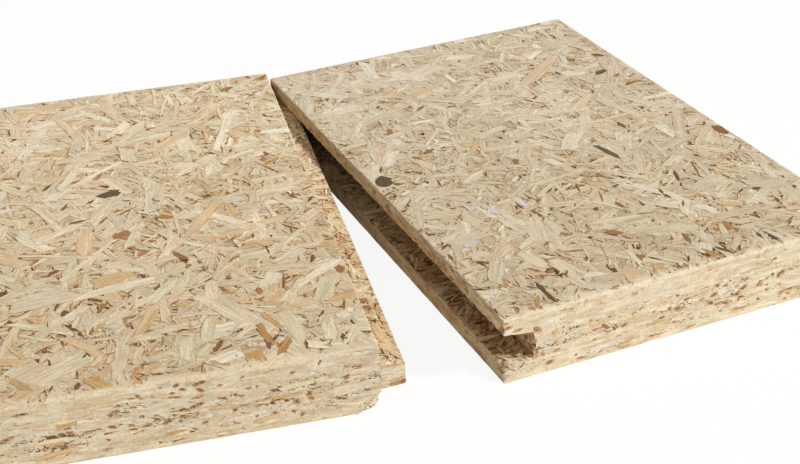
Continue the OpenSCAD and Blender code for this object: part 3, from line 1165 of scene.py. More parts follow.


# The grain of one flake: fibres along it, broader growth bands, the odd darker streak, and a dark
# line along parts of its sides, which is painted shade of the gap beside it, partly resin. Grain is in
# millimetres along and across the flake, with its number.
flake_grain, entry, leave = new_group(
    "flake_grain",
    {"Grain": "Vector", "Lie": "Vector"},
    ("Band", "Fibre", "Streak", "Edge", "Height"),
)
grain_in = entry.outputs["Grain"]
band = noise_texture(flake_grain, grain_in, (0.05, 0.9, 3.7), Detail=2.0)
fibre = noise_texture(flake_grain, grain_in, (0.22, 3.4, 3.7), Detail=3.0, Roughness=0.6)
dark = noise_texture(flake_grain, grain_in, (0.1, 2.2, 7.1), Detail=2.0)
broken = noise_texture(flake_grain, grain_in, (0.3, 0.6, 5.3), Detail=2.0)
side, half_width = parts_of(flake_grain, entry.outputs["Lie"])[:2]
off_side = math_node(flake_grain, "SUBTRACT", 1.0, math_node(flake_grain, "ABSOLUTE", side, 0.0))
off_side = math_node(flake_grain, "MULTIPLY", off_side, half_width)
line_width = spread(flake_grain, broken, 0.42, 0.7, -0.1, 0.3)
off_side = math_node(flake_grain, "SUBTRACT", off_side, line_width)
streak = spread(flake_grain, dark, 0.56, 0.72)
edge = spread(flake_grain, off_side, 0.0, 0.16, 1.0, 0.0)
height = math_node(flake_grain, "ADD", band, fibre)
close_group(flake_grain, leave, Band=band, Fibre=fibre, Streak=streak, Edge=edge, Height=height)


def felt_band(tree, spot, wood, felt_tones, reach):
    """Spreads the sawn end's felt of cut fibres a little way over the near arris of a face."""
    patches = noise_texture(tree, spot, (0.14, 0.14, 0.14), Detail=4.0, Roughness=0.6)
    frays = noise_texture(tree, spot, (1.4, 1.4, 1.4), Detail=4.0, Roughness=0.7)
    edge = spread(tree, patches, 0.36, 0.64, 0.1 * reach, reach)
    edge = math_node(tree, "ADD", edge, spread(tree, frays, 0.3, 0.7, -0.25 * reach, 0.25 * reach))
    past_edge = math_node(tree, "SUBTRACT", parts_of(tree, spot)[1], edge)
    mask = spread(tree, past_edge, -0.8, 0.6, 1.0, 0.0)
    felt = colour_ramp(tree, frays, felt_tones)
    return tint(tree, "MIX", mask, wood, felt)


# Painted sheen: the faces are made lighter toward the far end of their board, where the light glances off
# them.
FAR_PAINTED_SHEEN = (1.1, 1.12, 1.21, 1.0)


def flake_finish(
    name, place, tones, contrast, sunk_shade_colour, sunk_shade_share, edge_shade_share, relief, soft,
    felt=None, far_painted_light=FAR_PAINTED_SHEEN,
):
    """The finish of loose flakes: a tone for each, its grain, painted shade where it lies deep, with a little
    dust, and painted shade along parts of its sides, partly resin.

    Toward the far end of the board its colour is multiplied by the far painted light: painted sheen where it
    is over 1, painted shade where it is under 1."""
    material, tree, output = new_material(name)
    spot = board_millimetres(tree, place)
    lie = attribute(tree, "lie")["Vector"]
    grain = use_group(tree, flake_grain, Grain=attribute(tree, "grain")["Vector"], Lie=lie)
    wood = colour_ramp(tree, attribute(tree, "tone")["Fac"], tones)
    shade = spread(tree, grain.outputs["Band"], 0.3, 0.7, 1 - contrast, 1 + 0.4 * contrast)
    wood = tint(tree, "MULTIPLY", 1.0, wood, shade)
    shade = spread(tree, grain.outputs["Fibre"], 0.3, 0.7, 1 - contrast, 1 + 0.6 * contrast)
    wood = tint(tree, "MULTIPLY", 1.0, wood, shade)
    pale = spread(tree, grain.outputs["Fibre"], 0.56, 0.7, 0.0, 2.5 * contrast)
    wood = tint(tree, "SCREEN", pale, wood, srgb(96, 90, 76))
    share = math_node(tree, "MULTIPLY", grain.outputs["Streak"], 2.6 * contrast)
    wood = tint(tree, "MULTIPLY", share, wood, srgb(212, 176, 124))
    # Painted shade: flakes that lie deep under higher ones are darkened with the sunk shade colour, for the
    # shade of their recess, with a little dust.
    depth = spread(tree, parts_of(tree, lie)[2], 0.1, 1.0, sunk_shade_share, 0.0)
    wood = tint(tree, "MULTIPLY", depth, wood, srgb(*sunk_shade_colour))
    # Painted shade: a dark tan line along parts of each flake's sides stands in for the shade of the gap
    # beside it, partly resin.
    share = math_node(tree, "MULTIPLY", grain.outputs["Edge"], edge_shade_share)
    wood = tint(tree, "MULTIPLY", share, wood, srgb(194, 162, 104))
    fluff = noise_texture(tree, spot, (1.1, 1.1, 1.1), Detail=5.0, Roughness=0.75)
    wood = tint(tree, "MULTIPLY", 1.0, wood, spread(tree, fluff, 0.32, 0.68, 1 - soft, 1 + 0.8 * soft))
    if felt:
        wood = felt_band(tree, spot, wood, *felt)
    stain = noise_texture(tree, spot, (0.05, 0.05, 0.05), Detail=5.0, Roughness=0.6)
    wood = tint(tree, "MULTIPLY", spread(tree, stain, 0.42, 0.68, 0.0, 0.5), wood, srgb(230, 227, 216))
    # Painted light: the colour is multiplied toward the board's far end, a painted sheen on faces and sides,
    # painted shade in the groove.
    wood = tint(tree, "MULTIPLY", spread(tree, parts_of(tree, spot)[1], 15.0, 190.0), wood, far_painted_light)
    roughness = spread(tree, grain.outputs["Fibre"], 0.3, 0.7, 0.88, 0.72)
    wood_surface(tree, output, wood, roughness, grain.outputs["Height"], relief)
    return material


def facing(origin, run, rise=(0, 0, 1)):
    """The place and turn of a flat side: run and rise lie in it, and its outside is run x rise."""
    run, rise = Vector(run).normalized(), Vector(rise).normalized()
    return Matrix.Translation(origin) @ Matrix((run, rise, run.cross(rise))).transposed().to_4x4()


def pack_rows(sizes):
    """Places rectangles in rows on a square sheet, the tallest first, and grows it until they fit.

    Returns their corners and the sheet's side."""
    order = np.argsort(-sizes[:, 1], kind="stable")
    side = math.sqrt(MAP_ROOM * sizes.prod(1).sum())
    corners = np.zeros_like(sizes)
    while True:
        x = y = tall = 0
        for index in order.tolist():
            wide, high = sizes[index]
            if x + wide > side:
                x, y, tall = 0, y + tall, 0
            corners[index] = x, y
            x, tall = x + wide, max(tall, high)
        if y + tall <= side:
            return corners, side
        side *= MAP_STEP


def lay_flakes_out(flakes):
    """Gives each flake its own place on the object's map, with its sides around its top.

    What the others cover most is drawn smallest, and the undersides have a quarter of the scale."""
    mesh = flakes.data
    grain = read_points(mesh, "grain", "vector", 3)
    number = grain[:, 2].round().astype(int)
    flat, under = grain[:, :2], read_points(mesh, "under", "value", 1)[:, 0]
    count = number.max() + 1
    low, high, share = np.full((count, 2), np.inf), np.full((count, 2), -np.inf), np.zeros(count)
    np.minimum.at(low, number, flat)
    np.maximum.at(high, number, flat)
    share[number] = read_points(mesh, "share", "value", 1)[:, 0]
    high, low = np.where(high < low, 0, high), np.where(high < low, 0, low)
    middle, size = (low + high) / 2, np.maximum(high - low, 0.1)
    scale = np.clip(1.3 * np.sqrt(share), 0.35, 1)[:, None]
    hem, gap, less = 0.25, 0.15, 0.25
    tops, undersides = scale * size + 2 * (hem * scale + gap), less * scale * size + 2 * gap
    corners, side = pack_rows(np.concatenate([tops, undersides]))
    sizes, points = np.zeros(len(mesh.polygons), int), np.zeros(len(mesh.loops), int)
    mesh.polygons.foreach_get("loop_total", sizes)
    mesh.loops.foreach_get("vertex_index", points)
    starts = np.cumsum(sizes) - sizes
    below = np.repeat(np.minimum.reduceat(under[points], starts) > 0.99, sizes)
    flake = number[points]
    off = flat[points] - middle[flake]
    stretch = 1 + 2 * hem * under[points][:, None] / size[flake]
    on_top = (off * stretch + size[flake] / 2 + hem) * scale[flake] + corners[flake] + gap
    beneath = (off + size[flake] / 2) * less * scale[flake] + corners[flake + count] + gap
    layer = mesh.uv_layers.new(name="OFBake")
    layer.data.foreach_set("uv", (np.where(below[:, None], beneath, on_top) / side).ravel())


def finish_flakes(flakes, material, place, cuts=()):
    """Saws a set of flakes off along its cuts, places it with its board, and gives it its finish."""
    for point, outwards in cuts:
        trim(flakes, point, outwards)
    lay_flakes_out(flakes)
    flakes.data.materials.append(material)
    flakes.data.transform(place)
    select_only(flakes)
    bpy.ops.object.shade_smooth_by_angle(angle=SMOOTH_ANGLE)
    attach(flakes, "root")


def lay_face(name, rng, heap, field, wear, seed, material, place):
    """Makes the seen flakes of one face as two pieces, flakes and fines, worn with the board."""
    for label, share in zip(("flakes", "fines"), split_heap(heap)):
        flakes = flake_mesh(name + "_" + label, rng, share)
        trim_to_field(flakes, field, wear)
        set_places(flakes, worn(places_of(flakes.data), field, wear, seed))
        flakes.data.transform(Matrix.Translation((0, 0, THICKNESS)))
        finish_flakes(flakes, material, place)


def lay_underside(name, seed, field, chips, fines, wear, wear_seed, material, place, cuts=()):
    """Lays a simpler set of the same flakes under a board, as its mirror image."""
    rng = np.random.default_rng(seed)
    recipes = [recipe | {"per_cm2": UNDERSIDE_PER_CM2} for recipe in (chips, fines)]
    heap = pile_up(*(draw_flakes(rng, field, recipe) for recipe in recipes))
    settle(rng, heap, *FLUSH)
    heap = only_seen(heap, field)
    wear = [(UNDER_WEAR * least, UNDER_WEAR * most) for least, most in wear]
    flakes = flake_mesh(name, rng, heap)
    trim_to_field(flakes, field, wear)
    set_places(flakes, worn(places_of(flakes.data), field, wear, wear_seed + UNDER_SEED) * (1, 1, -1))
    flakes.data.flip_normals()
    finish_flakes(flakes, material, place, cuts)


GROOVE_TONES = [
    (0.0, (88, 68, 42)),
    (0.035, (92, 70, 42)),
    (0.05, (106, 76, 40)),
    (0.08, (148, 102, 56)),
    (0.13, (172, 128, 76)),
    (0.18, (198, 162, 102)),
    (0.26, (217, 189, 150)),
    (0.36, (221, 200, 168)),
    (0.43, (216, 197, 166)),
    (0.5, (211, 196, 167)),
    (0.57, (218, 201, 170)),
    (0.64, (216, 203, 170)),
    (0.72, (225, 209, 179)),
    (0.8, (224, 211, 179)),
    (0.9, (235, 225, 200)),
    (1.0, (217, 211, 201)),
]
GROOVE_CHIPS = {
    "per_cm2": 13, "odd": 0.05, "odd_tone": (0.22, 0.36), "tone": (0.38, 0.9), "order": (0.0, 1.0),
    "nests": (12, 0.11), "long": (11 * MM, 0.45, 4 * MM, 30 * MM),
    "wide": (2.6 * MM, 0.42, 1.3 * MM, 7 * MM),
}
GROOVE_FINES = {
    "per_cm2": 26, "odd": 0.14, "odd_tone": (0.06, 0.3), "tone": (0.36, 0.9), "order": (0.35, 0.985),
    "nests": (12, 0.11), "long": (3.1 * MM, 0.42, 1.4 * MM, 7 * MM),
    "wide": (0.85 * MM, 0.35, 0.45 * MM, 1.5 * MM),
}
# Flakes and slits laid one by one: x, y, length and width in mm, turn in degrees, and tone.
GROOVE_CHOSEN = [
    (4.2, 98.6, 8, 5.5, 70, 0.03), (82.5, 82, 14, 2.2, 100, 0.04), (98.2, 99, 5, 2.2, 80, 0.06),
    (127.2, 78.6, 8, 4, 95, 0.07), (115.8, 144.7, 6, 2.6, 20, 0.04), (120, 139, 4, 1.6, 60, 0.08),
    (22, 134, 5, 2.2, 60, 0.1), (28, 113, 4, 2.2, 30, 0.09), (22, 110, 3.5, 2, 100, 0.1),
    (51, 91, 4, 2, 75, 0.09), (44, 108.5, 13, 2.4, 54, 0.24), (22, 68, 5, 2.2, 95, 0.99),
    (28, 63, 5, 3, 70, 1.0), (39, 63, 6, 2.4, 95, 1.0), (12, 46, 6, 3, 15, 0.99),
    (76.5, 48, 3, 2, 120, 0.99), (5, 16, 3, 2.6, 60, 1.0), (30, 60, 4, 2, 20, 0.98),
    (55, 31, 5.5, 3.2, 130, 0.11), (57, 26, 4, 1, 110, 0.08), (98, 29.5, 7, 2.6, 150, 0.24),
    (111, 58, 7, 2.6, 12, 0.25), (67, 63, 7, 2.6, 148, 0.23), (16, 36, 14, 3.2, 38, 0.32),
    (12.2, 31, 9, 1.2, 128, 0.05), (89, 18, 5.5, 2.6, 75, 0.11), (75, 5, 7.5, 2.4, 112, 0.16),
    (18.5, 9, 12, 1.5, 88, 0.04), (14, 5, 7, 1.4, 62, 0.16), (46.5, 5, 8, 6, 88, 0.27),
    (55.5, 4, 6, 3.6, 75, 0.22), (35, 45, 18, 6, 70, 0.6), (11, 27, 15, 5.5, 60, 0.66),
    (70, 26, 22, 4.5, 160, 0.62), (95.5, 157.5, 30, 5.2, 40, 0.28), (45, 161, 18, 3.4, 17, 0.27),
    (95.5, 123.6, 17, 3.4, 32, 0.35), (54, 178, 20, 8, 25, 0.72), (40.4, 148, 4, 2.2, 40, 0.1),
    (51, 143.7, 5.5, 2, 10, 0.1), (123.5, 160, 5, 2.6, 140, 0.06), (120.3, 130, 5, 2.2, 30, 0.08),
    (126.6, 176, 5, 1.8, 90, 0.17), (100, 46, 12, 6, 20, 0.55), (118, 36, 16, 6, 155, 0.52),
    (25, 27, 12, 5, 100, 0.68), (60, 38, 17, 3.4, 170, 0.7),
]
# Dark slits: painted shade of open gaps between flakes, partly resin-stained wood.
GROOVE_SHADE_SLITS = [
    (93.5, 55, 7.5, 1.3, 70, 0.05), (83, 46, 8.5, 1.2, 89, 0.054), (73, 43, 5, 1.1, 100, 0.05),
    (66, 45.5, 8, 1.4, 97, 0.09), (79, 6, 6.5, 1.3, 122, 0.045), (97.5, 4, 7.5, 1.5, 104, 0.051),
    (43, 11, 2.6, 1.6, 60, 0.045), (9.2, 33, 6, 1.2, 97, 0.051), (102, 56, 11, 0.9, 70, 0.09),
    (67, 57, 5.5, 1.0, 106, 0.08), (63.5, 54, 9, 0.8, 70, 0.11), (60, 63, 6.5, 0.9, 76, 0.07),
    (43, 64, 6, 1.0, 105, 0.08), (37.2, 61.5, 6, 0.9, 94, 0.06), (54, 54, 4.5, 0.9, 50, 0.07),
    (72, 58.6, 3.2, 1.2, 12, 0.057), (125, 64, 4, 0.9, 45, 0.1), (127, 59, 2.4, 1.0, 90, 0.06),
    (4, 48, 4.5, 1.1, 42, 0.05), (2.6, 41, 5, 1.3, 75, 0.057), (33, 39.6, 3.4, 2.2, 30, 0.1),
    (38.5, 48, 6, 0.9, 58, 0.08), (58, 47.3, 2, 1.5, 30, 0.05), (50, 38.5, 2.6, 1.0, 95, 0.07),
    (47, 32, 1.8, 1.5, 10, 0.057), (70, 32, 1.6, 1.3, 20, 0.054), (69, 37.5, 11, 0.8, 168, 0.12),
    (85, 37.5, 5, 0.9, 62, 0.07), (93, 38, 5, 1.0, 97, 0.07), (106, 36, 3.4, 1.2, 30, 0.054),
    (112, 35, 3.2, 1.8, 5, 0.054), (113, 25, 3.4, 1.4, 72, 0.051), (123, 30, 3, 1.6, 40, 0.05),
    (101.5, 21, 1.6, 1.3, 20, 0.051), (109, 12.5, 4.5, 0.8, 22, 0.057), (94, 8.5, 4.5, 1.4, 93, 0.048),
    (72.4, 6, 5, 1.0, 110, 0.05), (58, 2, 3.4, 2, 70, 0.057), (51.5, 2, 4.5, 1.4, 88, 0.06),
    (34.5, 9, 2.4, 1.0, 80, 0.08), (22, 17.5, 2.6, 1.0, 80, 0.09), (38, 1.5, 3.4, 2, 20, 0.1),
    (6.5, 4, 3, 1.6, 60, 0.07), (55, 13.5, 5, 0.9, 30, 0.09),
]
rng = np.random.default_rng(31)
chips = draw_flakes(rng, groove_field, GROOVE_CHIPS)
# Dark slots along flake sides: painted shade of the gaps there, partly resin-stained wood.
slots = draw_shade_slots(rng, chips, 900, (1.5 * MM, 6 * MM), (0.45 * MM, 1.0 * MM), GROOVE_CHIPS["nests"])
heap = pile_up(
    chips,
    draw_flakes(rng, groove_field, GROOVE_FINES),
    slots,
    chosen_flakes(GROOVE_CHOSEN, LAID_FROM),
    chosen_flakes(GROOVE_SHADE_SLITS, SLITS_FROM),
)
settle(rng, heap, *FLUSH)
heap = only_seen(heap, groove_field)
groove_flake_finish = flake_finish(
    "groove_board_flakes", groove_place, GROOVE_TONES, 0.18, (197, 172, 124), 0.36, 0.66, 0.05 * MM, 0.15,
    ([(0.3, (206, 188, 158)), (0.5, (220, 204, 176)), (0.7, (230, 216, 190))], 4.4),
)
lay_face(
    "groove_board_face", rng, heap, groove_field, GROOVE_WEAR, GROOVE_SEED, groove_flake_finish, groove_place
)
lay_underside(
    "groove_board_underside_flakes", 37, groove_field, GROOVE_CHIPS, GROOVE_FINES, GROOVE_WEAR, GROOVE_SEED,
    groove_flake_finish, groove_place,
)


# ---------------------------------------------------------------------------------------------
# Flakes in the groove and chips on the sides of the groove board
# The cutter opened the flakes that lie along the groove's lower flank. The saw cut others through:
# on the sides they show as thin lying lenses, with small brown voids in nests between them.

NO_WEAR = 4 * ((0.0, 0.1 * MM),)
FLANK_CHIPS = {
    "per_cm2": 22, "odd": 0.25, "odd_tone": (0.12, 0.34), "tone": (0.34, 0.8), "order": (0.0, 1.0),
    "nests": (3, 1.0), "long": (6 * MM, 0.45, 3 * MM, 16 * MM),
    "wide": (1.5 * MM, 0.4, 0.9 * MM, 3.6 * MM),
}
FLANK_FINES = {
    "per_cm2": 30, "odd": 0.3, "odd_tone": (0.02, 0.25), "tone": (0.3, 0.8), "order": (0.3, 0.98),
    "nests": (3, 1.0), "long": (3.6 * MM, 0.45, 1.6 * MM, 10 * MM),
    "wide": (0.7 * MM, 0.3, 0.4 * MM, 1.1 * MM),
}
FLANK_SEED = 7
FLANK_FLUSH = (0.35 * MM, 0.01)
FLANK_ORDER = 0.98
MARK_FLUSH = (0.05 * MM, 0.0)
MARK_ORDER = 0.6
MARK_CLEAR = 1.2 * MM
SPLINTERS = 90
BROKEN_FLUSH = (0.4 * MM, 0.12)
FLANK_WEAR = ((0.1 * MM, 0.5 * MM), (0.0, 0.1 * MM), (0.1 * MM, 0.4 * MM), (0.1 * MM, 0.3 * MM))


def lay_flank(name, rng, heap, origin, run, length, wear, material, place, cuts):
    """Lays milled-open flakes along a flank, from its origin along its run and the board's length."""
    field = (0, Vector(run).length, 0, length)
    settle(rng, heap, *FLANK_FLUSH)
    heap = only_seen(heap, field)
    flakes = flake_mesh(name, rng, heap)
    trim_to_field(flakes, field, wear)
    set_places(flakes, worn(places_of(flakes.data), field, wear, FLANK_SEED))
    flakes.data.transform(facing(origin, run, (0, 1, 0)))
    finish_flakes(flakes, material, place, cuts)


def draw_lenses(rng, field, per_cm2):
    """Draws the flakes that a side shows cut through: long thin lying lenses of all tones."""
    x_low, x_high, y_low, y_high = field
    count = count_on(field, per_cm2)
    long = np.clip(6 * MM * np.exp(rng.normal(0, 0.45, count)), 2.5 * MM, 18 * MM)
    return {
        "x": rng.uniform(x_low, x_high, count),
        "y": rng.uniform(y_low + 0.8 * MM, y_high - 1.8 * MM, count),
        "turn": rng.normal(0, 0.07, count),
        "long": long,
        "wide": np.clip(0.13 * long * rng.uniform(0.7, 1.3, count), 0.45 * MM, 1.5 * MM),
        "tone": np.where(
            rng.uniform(0, 1, count) < 0.07, rng.uniform(0.24, 0.36, count), rng.uniform(0.6, 0.95, count)
        ),
        "order": rng.uniform(0, 0.4, count),
        "keen": (rng.uniform(0, 1, count) < 0.6).astype(float),
    }


def draw_pits(rng, field, nests, count):
    """Draws the dark little voids of a sawn side, which gather in lying nests: flat marks whose dark is
    partly painted shade of a void and partly browner wood.
    """
    x_low, x_high, y_low, y_high = field
    home = rng.integers(nests, size=count)
    nest_x = rng.uniform(x_low, x_high, nests)[home]
    nest_y = (y_low + (y_high - y_low) * rng.normal(0.45, 0.17, nests))[home]
    long = np.clip(1.1 * MM * np.exp(rng.normal(0, 0.4, count)), 0.6 * MM, 2.8 * MM)
    return {
        "x": nest_x + rng.normal(0, 5 * MM, count),
        "y": np.clip(nest_y + rng.normal(0, 1.2 * MM, count), y_low, y_high - 2 * MM),
        "turn": rng.normal(0, 0.35, count),
        "long": long,
        "wide": np.clip(0.5 * long * rng.uniform(0.6, 1.2, count), 0.4 * MM, 1.1 * MM),
        # Painted shade, partly browner wood: pits take dark tones for a void's shade.
        "tone": rng.uniform(0.02, 0.18, count),
        "order": rng.uniform(0.5, 1, count),
        "keen": (rng.uniform(0, 1, count) < 0.5).astype(float),
    }


def all_stay(x, z, reach):
    """Leaves out none of the marks."""
    return np.zeros(len(x), bool)


def lay_marks(name, rng, sides, material, place, worn_like):
    """Lays the marks of several sides as one piece, worn like their board.

    A side is its heap, what of it to leave out, its field, its facing and its cuts."""
    pieces = []
    laid = 0
    for heap, misses, field, turned, cuts in sides:
        missed = misses(heap["x"], heap["y"], heap["long"] / 2)
        heap = {key: values[~missed] for key, values in heap.items()}
        settle(rng, heap, *MARK_FLUSH)
        heap["share"] = np.ones(len(heap["x"]))
        marks = flake_mesh(name, rng, heap, laid)
        laid += len(heap["x"])
        trim_to_field(marks, field, NO_WEAR)
        marks.data.transform(turned)
        for point, outwards in cuts:
            trim(marks, point, outwards)
        pieces.append(marks)
    select_only(pieces[0])
    for marks in pieces:
        marks.select_set(True)
    bpy.ops.object.join()
    set_places(pieces[0], worn_twice(places_of(pieces[0].data), *worn_like))
    finish_flakes(pieces[0], material, place)


def lay_splinters(name, rng, corner, legs, ledges, count, cuts, material, place):
    """Lays short splinters over a broken corner, along its ledges."""
    inwards = Vector([1 / leg for leg in legs]).normalized()
    run = Vector((0, 0, -1)).cross(inwards).normalized()
    middle = Vector(corner) + Vector(legs) / 3
    heap = {
        "x": rng.uniform(-6 * MM, 6 * MM, count),
        "y": rng.uniform(-5 * MM, 5 * MM, count),
        "turn": rng.normal(0, 0.3, count),
        "long": rng.uniform(1.5 * MM, 6 * MM, count),
        "wide": rng.uniform(0.4 * MM, 0.9 * MM, count),
        "tone": rng.choice([0.1, 0.16, 0.24, 0.34, 0.5, 0.7], count) + rng.uniform(-0.03, 0.03, count),
        "order": rng.uniform(0, 1, count),
        "keen": (rng.uniform(0, 1, count) < 0.6).astype(float),
    }
    settle(rng, heap, *BROKEN_FLUSH)
    heap["share"] = np.ones(count)
    splinters = flake_mesh(name, rng, heap)
    splinters.data.transform(facing(middle, run, inwards.cross(run) * -1))
    places = places_of(splinters.data)
    out = np.maximum(((places - np.array(corner)) / np.array(inwards)).min(1), 0)
    heights, shares = np.array(ledges).T
    kept = out * np.interp(places[:, 2], heights, shares)
    places -= (kept + 0.15 * MM)[:, None] * np.array(inwards)
    set_places(splinters, places)
    finish_flakes(splinters, material, place, cuts)


def break_cut(corner, legs):
    """The plane through the ends of a broken corner's legs: a point on it, and which way is lost."""
    return Vector(corner) + Vector((legs[0], 0, 0)), -Vector([1 / leg for leg in legs])


groove_break_cut = break_cut(groove_corner, groove_legs)
groove_flank = (0, groove_depth, 0, groove_length)
# Painted shade: the flank inside the groove darkens toward the board's far end, and its deep flakes more than
# on the faces, for the shade in the groove.
groove_flank_finish = flake_finish(
    "groove_flank_flakes", groove_place, GROOVE_TONES, 0.2, (188, 152, 100), 0.8, 0.6, 0.08 * MM, 0.2, None,
    (0.74, 0.74, 0.56, 1.0),
)
lay_flank(
    "groove_flank_flakes", rng,
    pile_up(draw_flakes(rng, groove_flank, FLANK_CHIPS), draw_flakes(rng, groove_flank, FLANK_FINES)),
    (0, 0, mouth_low), (groove_depth, 0, floor_low - mouth_low), groove_length,
    FLANK_WEAR, groove_flank_finish, groove_place, [groove_break_cut],
)

GROOVE_END_CHIPS = [
    (33, 12.2, 9, 1.3, 6, 0.28), (43, 10.6, 3, 0.8, 25, 0.2), (46, 9.6, 6, 1.3, 5, 0.28),
    (51.5, 6.6, 4.5, 1.3, 12, 0.2), (41, 0.9, 4, 0.9, 3, 0.2), (42, 2.8, 5, 0.7, 8, 0.2),
    (17, 13.5, 2.4, 1.2, 60, 0.2), (74, 14.3, 3, 0.8, 20, 0.2), (90, 16, 8, 0.5, 4, 0.3),
    (30, 16.6, 7, 0.8, 3, 0.4), (12, 18.3, 10, 0.7, 4, 0.27), (110, 5.5, 6, 0.8, 3, 0.2),
    (121, 15, 4, 0.7, 5, 0.24),
]
groove_end = (0, groove_width, 0, THICKNESS)
groove_side = (0, groove_length, 0, THICKNESS)
rng = np.random.default_rng(83)
near_side = pile_up(
    draw_lenses(rng, groove_end, 3),
    draw_pits(rng, (groove_depth + 4 * MM, groove_width, 0, THICKNESS), 9, 30),
    chosen_flakes(GROOVE_END_CHIPS, MARK_ORDER),
)
far_side = pile_up(
    draw_lenses(rng, (0, groove_width - groove_depth, 0, THICKNESS), 3),
    draw_pits(rng, (0, groove_width - groove_depth - 3 * MM, 0, THICKNESS), 14, 50),
)
long_side = pile_up(draw_lenses(rng, groove_side, 3), draw_pits(rng, groove_side, 22, 80))


def off_groove(x, z, reach):
    """Marks that would hang over the open end of the groove, x from the groove's side."""
    return (x - reach < groove_depth) & (z > floor_low - MARK_CLEAR) & (z < floor_high + MARK_CLEAR)


groove_side_finish = flake_finish(
    "groove_board_side_chips", groove_place, GROOVE_TONES, 0.08, (232, 212, 182), 0.2, 0.3, 0.1 * MM, 0.22
)
lay_marks(
    "groove_board_side_chips", rng,
    [
        (near_side, off_groove, groove_end, facing((0, 0, 0), (1, 0, 0)), [groove_break_cut]),
        (far_side, lambda x, z, reach: off_groove(groove_width - x, z, reach), groove_end,
         facing((groove_width, groove_length, 0), (-1, 0, 0)), []),
        (long_side, all_stay, groove_side, facing((groove_width, 0, 0), (0, 1, 0)), []),
    ],
    groove_side_finish, groove_place, (groove_field, GROOVE_WEAR, GROOVE_SEED),
)
lay_splinters(
    "groove_corner_splinters", rng, groove_corner, groove_legs, groove_ledges, SPLINTERS,
    [
        ((0, 0, 0), (-1, 0, 0)),
        ((0, 0, 0), (0, -1, 0)),
        ((0, 0, mouth_low), (mouth_low - floor_low, 0, groove_depth)),
        ((0, 0, 0), (0, 0, -1)),
    ],
    groove_flake_finish, groove_place,
)


# ---------------------------------------------------------------------------------------------
# Face flakes of the tongue board
# The same kind of flakes, slimmer and less flushly pressed, so that each strand stands out and
# more of the slots between them stay open.

TONGUE_TONES = [
    (0.0, (92, 72, 44)),
    (0.035, (96, 74, 44)),
    (0.05, (112, 80, 42)),
    (0.08, (156, 106, 58)),
    (0.13, (180, 132, 78)),
    (0.18, (204, 166, 102)),
    (0.26, (222, 191, 148)),
    (0.36, (226, 203, 168)),
    (0.43, (222, 201, 170)),
    (0.5, (218, 203, 172)),
    (0.57, (226, 208, 175)),
    (0.64, (224, 210, 176)),
    (0.72, (232, 215, 184)),
    (0.8, (232, 218, 186)),
    (0.9, (242, 230, 205)),
    (1.0, (218, 211, 201)),
]
TONGUE_CHIPS = {
    "per_cm2": 14, "odd": 0.08, "odd_tone": (0.23, 0.36), "tone": (0.36, 0.88), "order": (0.0, 1.0),
    "nests": (15, 0.25), "long": (12 * MM, 0.45, 4 * MM, 34 * MM),
    "wide": (2.6 * MM, 0.42, 1.3 * MM, 7 * MM),
}
TONGUE_FINES = {
    "per_cm2": 24, "odd": 0.16, "odd_tone": (0.06, 0.3), "tone": (0.3, 0.92), "order": (0.3, 0.98),
    "nests": (15, 0.25), "long": (3.5 * MM, 0.45, 1.5 * MM, 8 * MM),
    "wide": (0.9 * MM, 0.35, 0.45 * MM, 1.6 * MM),
}
TONGUE_CHOSEN = [
    (-68, 120, 7.5, 4.5, 15, 0.02), (-66, 90, 6.5, 3.8, 20, 0.11), (-51, 98, 5.5, 2.5, 160, 0.1),
    (-60, 75, 4, 2, 30, 0.12), (-2, 47, 5.5, 3, 95, 0.09), (-28, 41, 3.8, 2.6, 70, 0.11),
    (-86.5, 45.5, 3.2, 2, 70, 0.05), (-39, 93, 26, 4.2, 61, 0.26), (-92, 55, 20, 9.5, 6, 0.5),
    (-78, 88, 18, 5, 86, 0.27), (-82, 25, 16, 3.6, 125, 0.28), (-71, 62, 12, 6, 15, 0.24),
    (-63, 33, 15, 4, 68, 0.25), (-71, 55, 26, 4.2, 12, 0.82), (-34.5, 4.5, 7.5, 5.5, 100, 0.17),
    (-100, 10, 9, 2.4, 125, 0.2), (-103, 23, 9, 3.6, 160, 0.24), (-78, 4, 9, 4.5, 125, 0.2),
    (-64, 8, 7, 3.4, 40, 0.24), (-38, 33, 24, 7, 122, 0.58), (-22, 17, 20, 5, 100, 0.6),
    (-42, 43, 15, 4.5, 88, 0.74), (-12, 13, 11, 4.6, 85, 0.66), (-6, 9, 9, 3.4, 60, 0.8),
    (-4.5, 30, 9, 4, 12, 0.24), (-26, 8, 9, 2.6, 60, 0.14), (-30, 16, 13, 2.2, 100, 0.15),
    (-27, 23, 11, 1.8, 115, 0.2), (-46, 24, 14, 4, 80, 0.62), (-53, 14, 12, 5, 85, 0.66),
    (-90, 15, 18, 7, 30, 0.6), (-72, 14, 16, 4, 80, 0.6), (-43.6, 155.6, 19, 5, 45, 0.3),
    (-78.7, 176.4, 24, 3.2, 106, 0.35), (-80.8, 137.4, 19.5, 3.4, 66, 0.74),
    (-17, 197.5, 5, 3, 30, 0.1), (-84, 202.5, 11, 4.5, 5, 0.25), (-93.5, 200, 9, 3.6, 170, 0.25),
    (-17, 38, 16, 3, 68, 0.6), (-8, 47, 20, 3.6, 35, 0.84), (-57, 50, 16, 4, 52, 0.8),
    (-96, 40, 14, 3.4, 150, 0.62),
]
